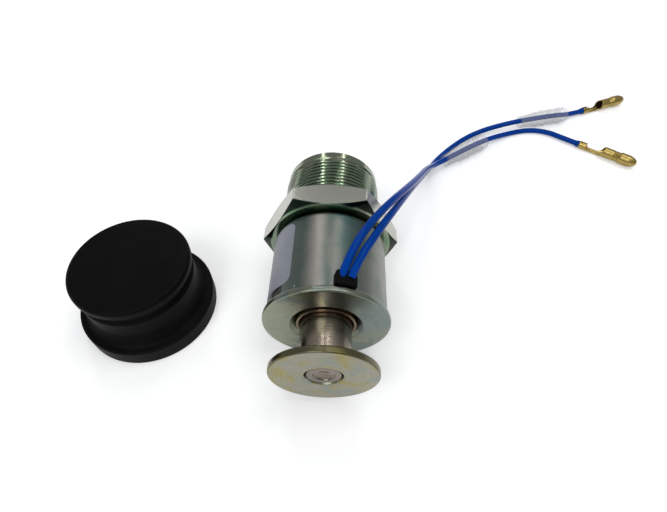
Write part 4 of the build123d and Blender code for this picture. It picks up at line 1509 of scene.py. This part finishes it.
@dataclass
class ReturnSpring:
    """Coil spring between the plunger and the washer at the bottom of the nose's chamber."""

    coil_r: float = 3.72
    wire_r: float = 0.42
    turns: float = 7.0
    steps_per_turn: int = 44
    end_rise: float = 0.035

    def build(self) -> None:
        """Makes the spring and gives it a mesh of its own.

        Formula: a circle of the wire's radius is carried along a helix whose rise is slow
        in its first and last turn. The circle lies in the plane of the radius and the
        direction that is square to both it and the helix.
        """
        low, high = span("plunger")[1], span("spring_washer")[0]
        length = high - low - 2 * self.wire_r
        share = np.linspace(0, 1, int(self.turns * self.steps_per_turn))
        turn = 2 * pi * self.turns * share
        slow = 0.8 / self.turns
        rise = np.interp(share, [0, slow, 1 - slow, 1], [0, self.end_rise, 1 - self.end_rise, 1])
        along = low + self.wire_r + length * rise
        centre = np.stack([self.coil_r * np.sin(turn), along, self.coil_r * np.cos(turn)], -1)
        forward = np.gradient(centre, axis=0)
        forward /= np.linalg.norm(forward, axis=1, keepdims=True)
        outwards = np.stack([np.sin(turn), np.zeros_like(turn), np.cos(turn)], -1)
        side = np.cross(forward, outwards)
        angle = even_angles(14)[None, :, None]
        size = np.concatenate([[0], np.full(len(share) - 2, self.wire_r), [0]])
        size[1] = size[-2] = self.wire_r * 0.9
        circle = np.cos(angle) * outwards[:, None, :] + np.sin(angle) * side[:, None, :]
        grid = centre[:, None, :] + size[:, None, None] * circle
        grid[..., 1] = np.clip(grid[..., 1], low + 0.01, high - 0.01)
        spring = make_piece("coil_spring", grid, False, 60)
        place_on(spring, SPRING_STEEL.build(), ROOT, "spring_steel", "return_spring")
        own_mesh(spring)


@dataclass
class RubberCap:
    """Moulded dust cap that stands on its mouth beside the solenoid."""

    centre: tuple[float, float] = (-50.65, -18.15)
    height: float = 20.6

    def build(self) -> None:
        """Makes the cap as one turned wall, open below."""
        top = self.height
        corners = [
            (0, top - 0.12), (8, top - 0.1), (13.0, top), (15.3, top - 0.2), (15.3, top - 2.6), (13.95, top - 3.7),
            (13.95, top - 5.0), (14.9, top - 6.0), (14.9, 8.0), (15.3, 6.4), (16.4, 5.55), (18.0, 5.3), (18.0, 0),
            (14.7, 0), (14.7, 2.0), (15.75, 2.0), (15.75, 3.85), (12.95, 3.85), (12.95, 18.0), (0, 18.0),
        ]
        radii = [1, 2, 3.0, 1.4, 0.9, 0.9, 0.6, 0.6, 2.5, 2.0, 1.2, 0.6, 0.5, 0.3, 0.3, 0.3, 0.4, 0.4, 1.0, 1]
        outline = filled(rounded(corners, radii, 9, closed=False), 0.8)
        cap = lathe("moulded_cap", outline, 224, False, Turn.UPRIGHT, (*self.centre, FLOOR_Z))
        place_on(cap, RUBBER.build(), ROOT, "rubber_black", "rubber_cap")


@dataclass
class Studio:
    """White table, grey room and soft lamps, with two narrow ones that streak the metal.

    A lamp's row gives its place and size in metres and its power in watts.
    """

    floor_half: float = 3000.0
    room: Color = (0.36, 0.37, 0.38, 1)
    white: Color = (1, 1, 1, 1)
    floor_color: Color = (0.90, 0.90, 0.90, 1)
    floor_glow: float = 0.30
    lamps: dict[str, tuple[Point, tuple[float, float], float]] = field(default_factory=lambda: {
        "strip_left": ((-0.30, 0.80, 0.92), (0.06, 0.9), 1.25),
        "strip_right": ((0.30, 0.80, 0.92), (0.05, 0.9), 0.95),
        "soft_front": ((-0.5, -0.9, 1.3), (0.8, 0.8), 8.0),
        "soft_top": ((0.5, 0.1, 1.5), (0.8, 0.8), 6.0),
    })

    def floor(self) -> None:
        """Makes the table: pale, and a little brighter to the camera and in reflections."""
        half, z = self.floor_half * MM, FLOOR_Z * MM
        mesh = bpy.data.meshes.new("table")
        corners = [(-half, -half, z), (half, -half, z), (half, half, z), (-half, half, z)]
        mesh.from_pydata(corners, [], [(0, 1, 2, 3)])
        table = into_scene("table", mesh)
        material, g, shader, _ = new_material("white_table")
        ray = g.add("LightPath").outputs
        mirrored = g.math("MAXIMUM", ray["Is Glossy Ray"], ray["Is Transmission Ray"])
        seen = g.math("MAXIMUM", ray["Is Camera Ray"], mirrored)
        g.feed(shader, {
            "Base Color": self.floor_color, "Roughness": 0.9, "Specular IOR Level": 0.0,
            "Emission Color": self.white, "Emission Strength": g.times(seen, self.floor_glow)})
        mesh.materials.append(material)

    def build(self) -> None:
        """Makes the room's light, the lamps, which face the solenoid, and the table."""
        world = bpy.data.worlds.new("room")
        world.use_nodes = True
        g = Graph(world.node_tree)
        seen = g.add("LightPath").outputs["Is Camera Ray"]
        g.feed(world.node_tree.nodes["Background"], {0: g.blend(seen, self.room, self.white)})
        bpy.context.scene.world = world
        for name, (place, size, power) in self.lamps.items():
            data = bpy.data.lights.new(name, "AREA")
            data.shape = "RECTANGLE"
            data.size, data.size_y = size
            data.energy = power
            lamp = into_scene(name, data)
            lamp.location = place
            lamp.rotation_euler = (-lamp.location).to_track_quat("-Z", "Y").to_euler()
        self.floor()
        bpy.context.scene.view_settings.view_transform = "Standard"


def main() -> None:
    """Builds the camera and the cords first, then the solenoid, the cap and the studio."""
    logging.basicConfig(level=logging.INFO, format="%(name)s: %(message)s")
    for made in (PhotoCamera(), Leads(), NoseBody(), Case(), BareLabel(), AxisPieces(), SlotBlocks(),
                 ReturnSpring(), RubberCap(), Studio()):
        made.build()
        LOG.info("%s is built", type(made).__name__)


if __name__ == "__main__":
    main()
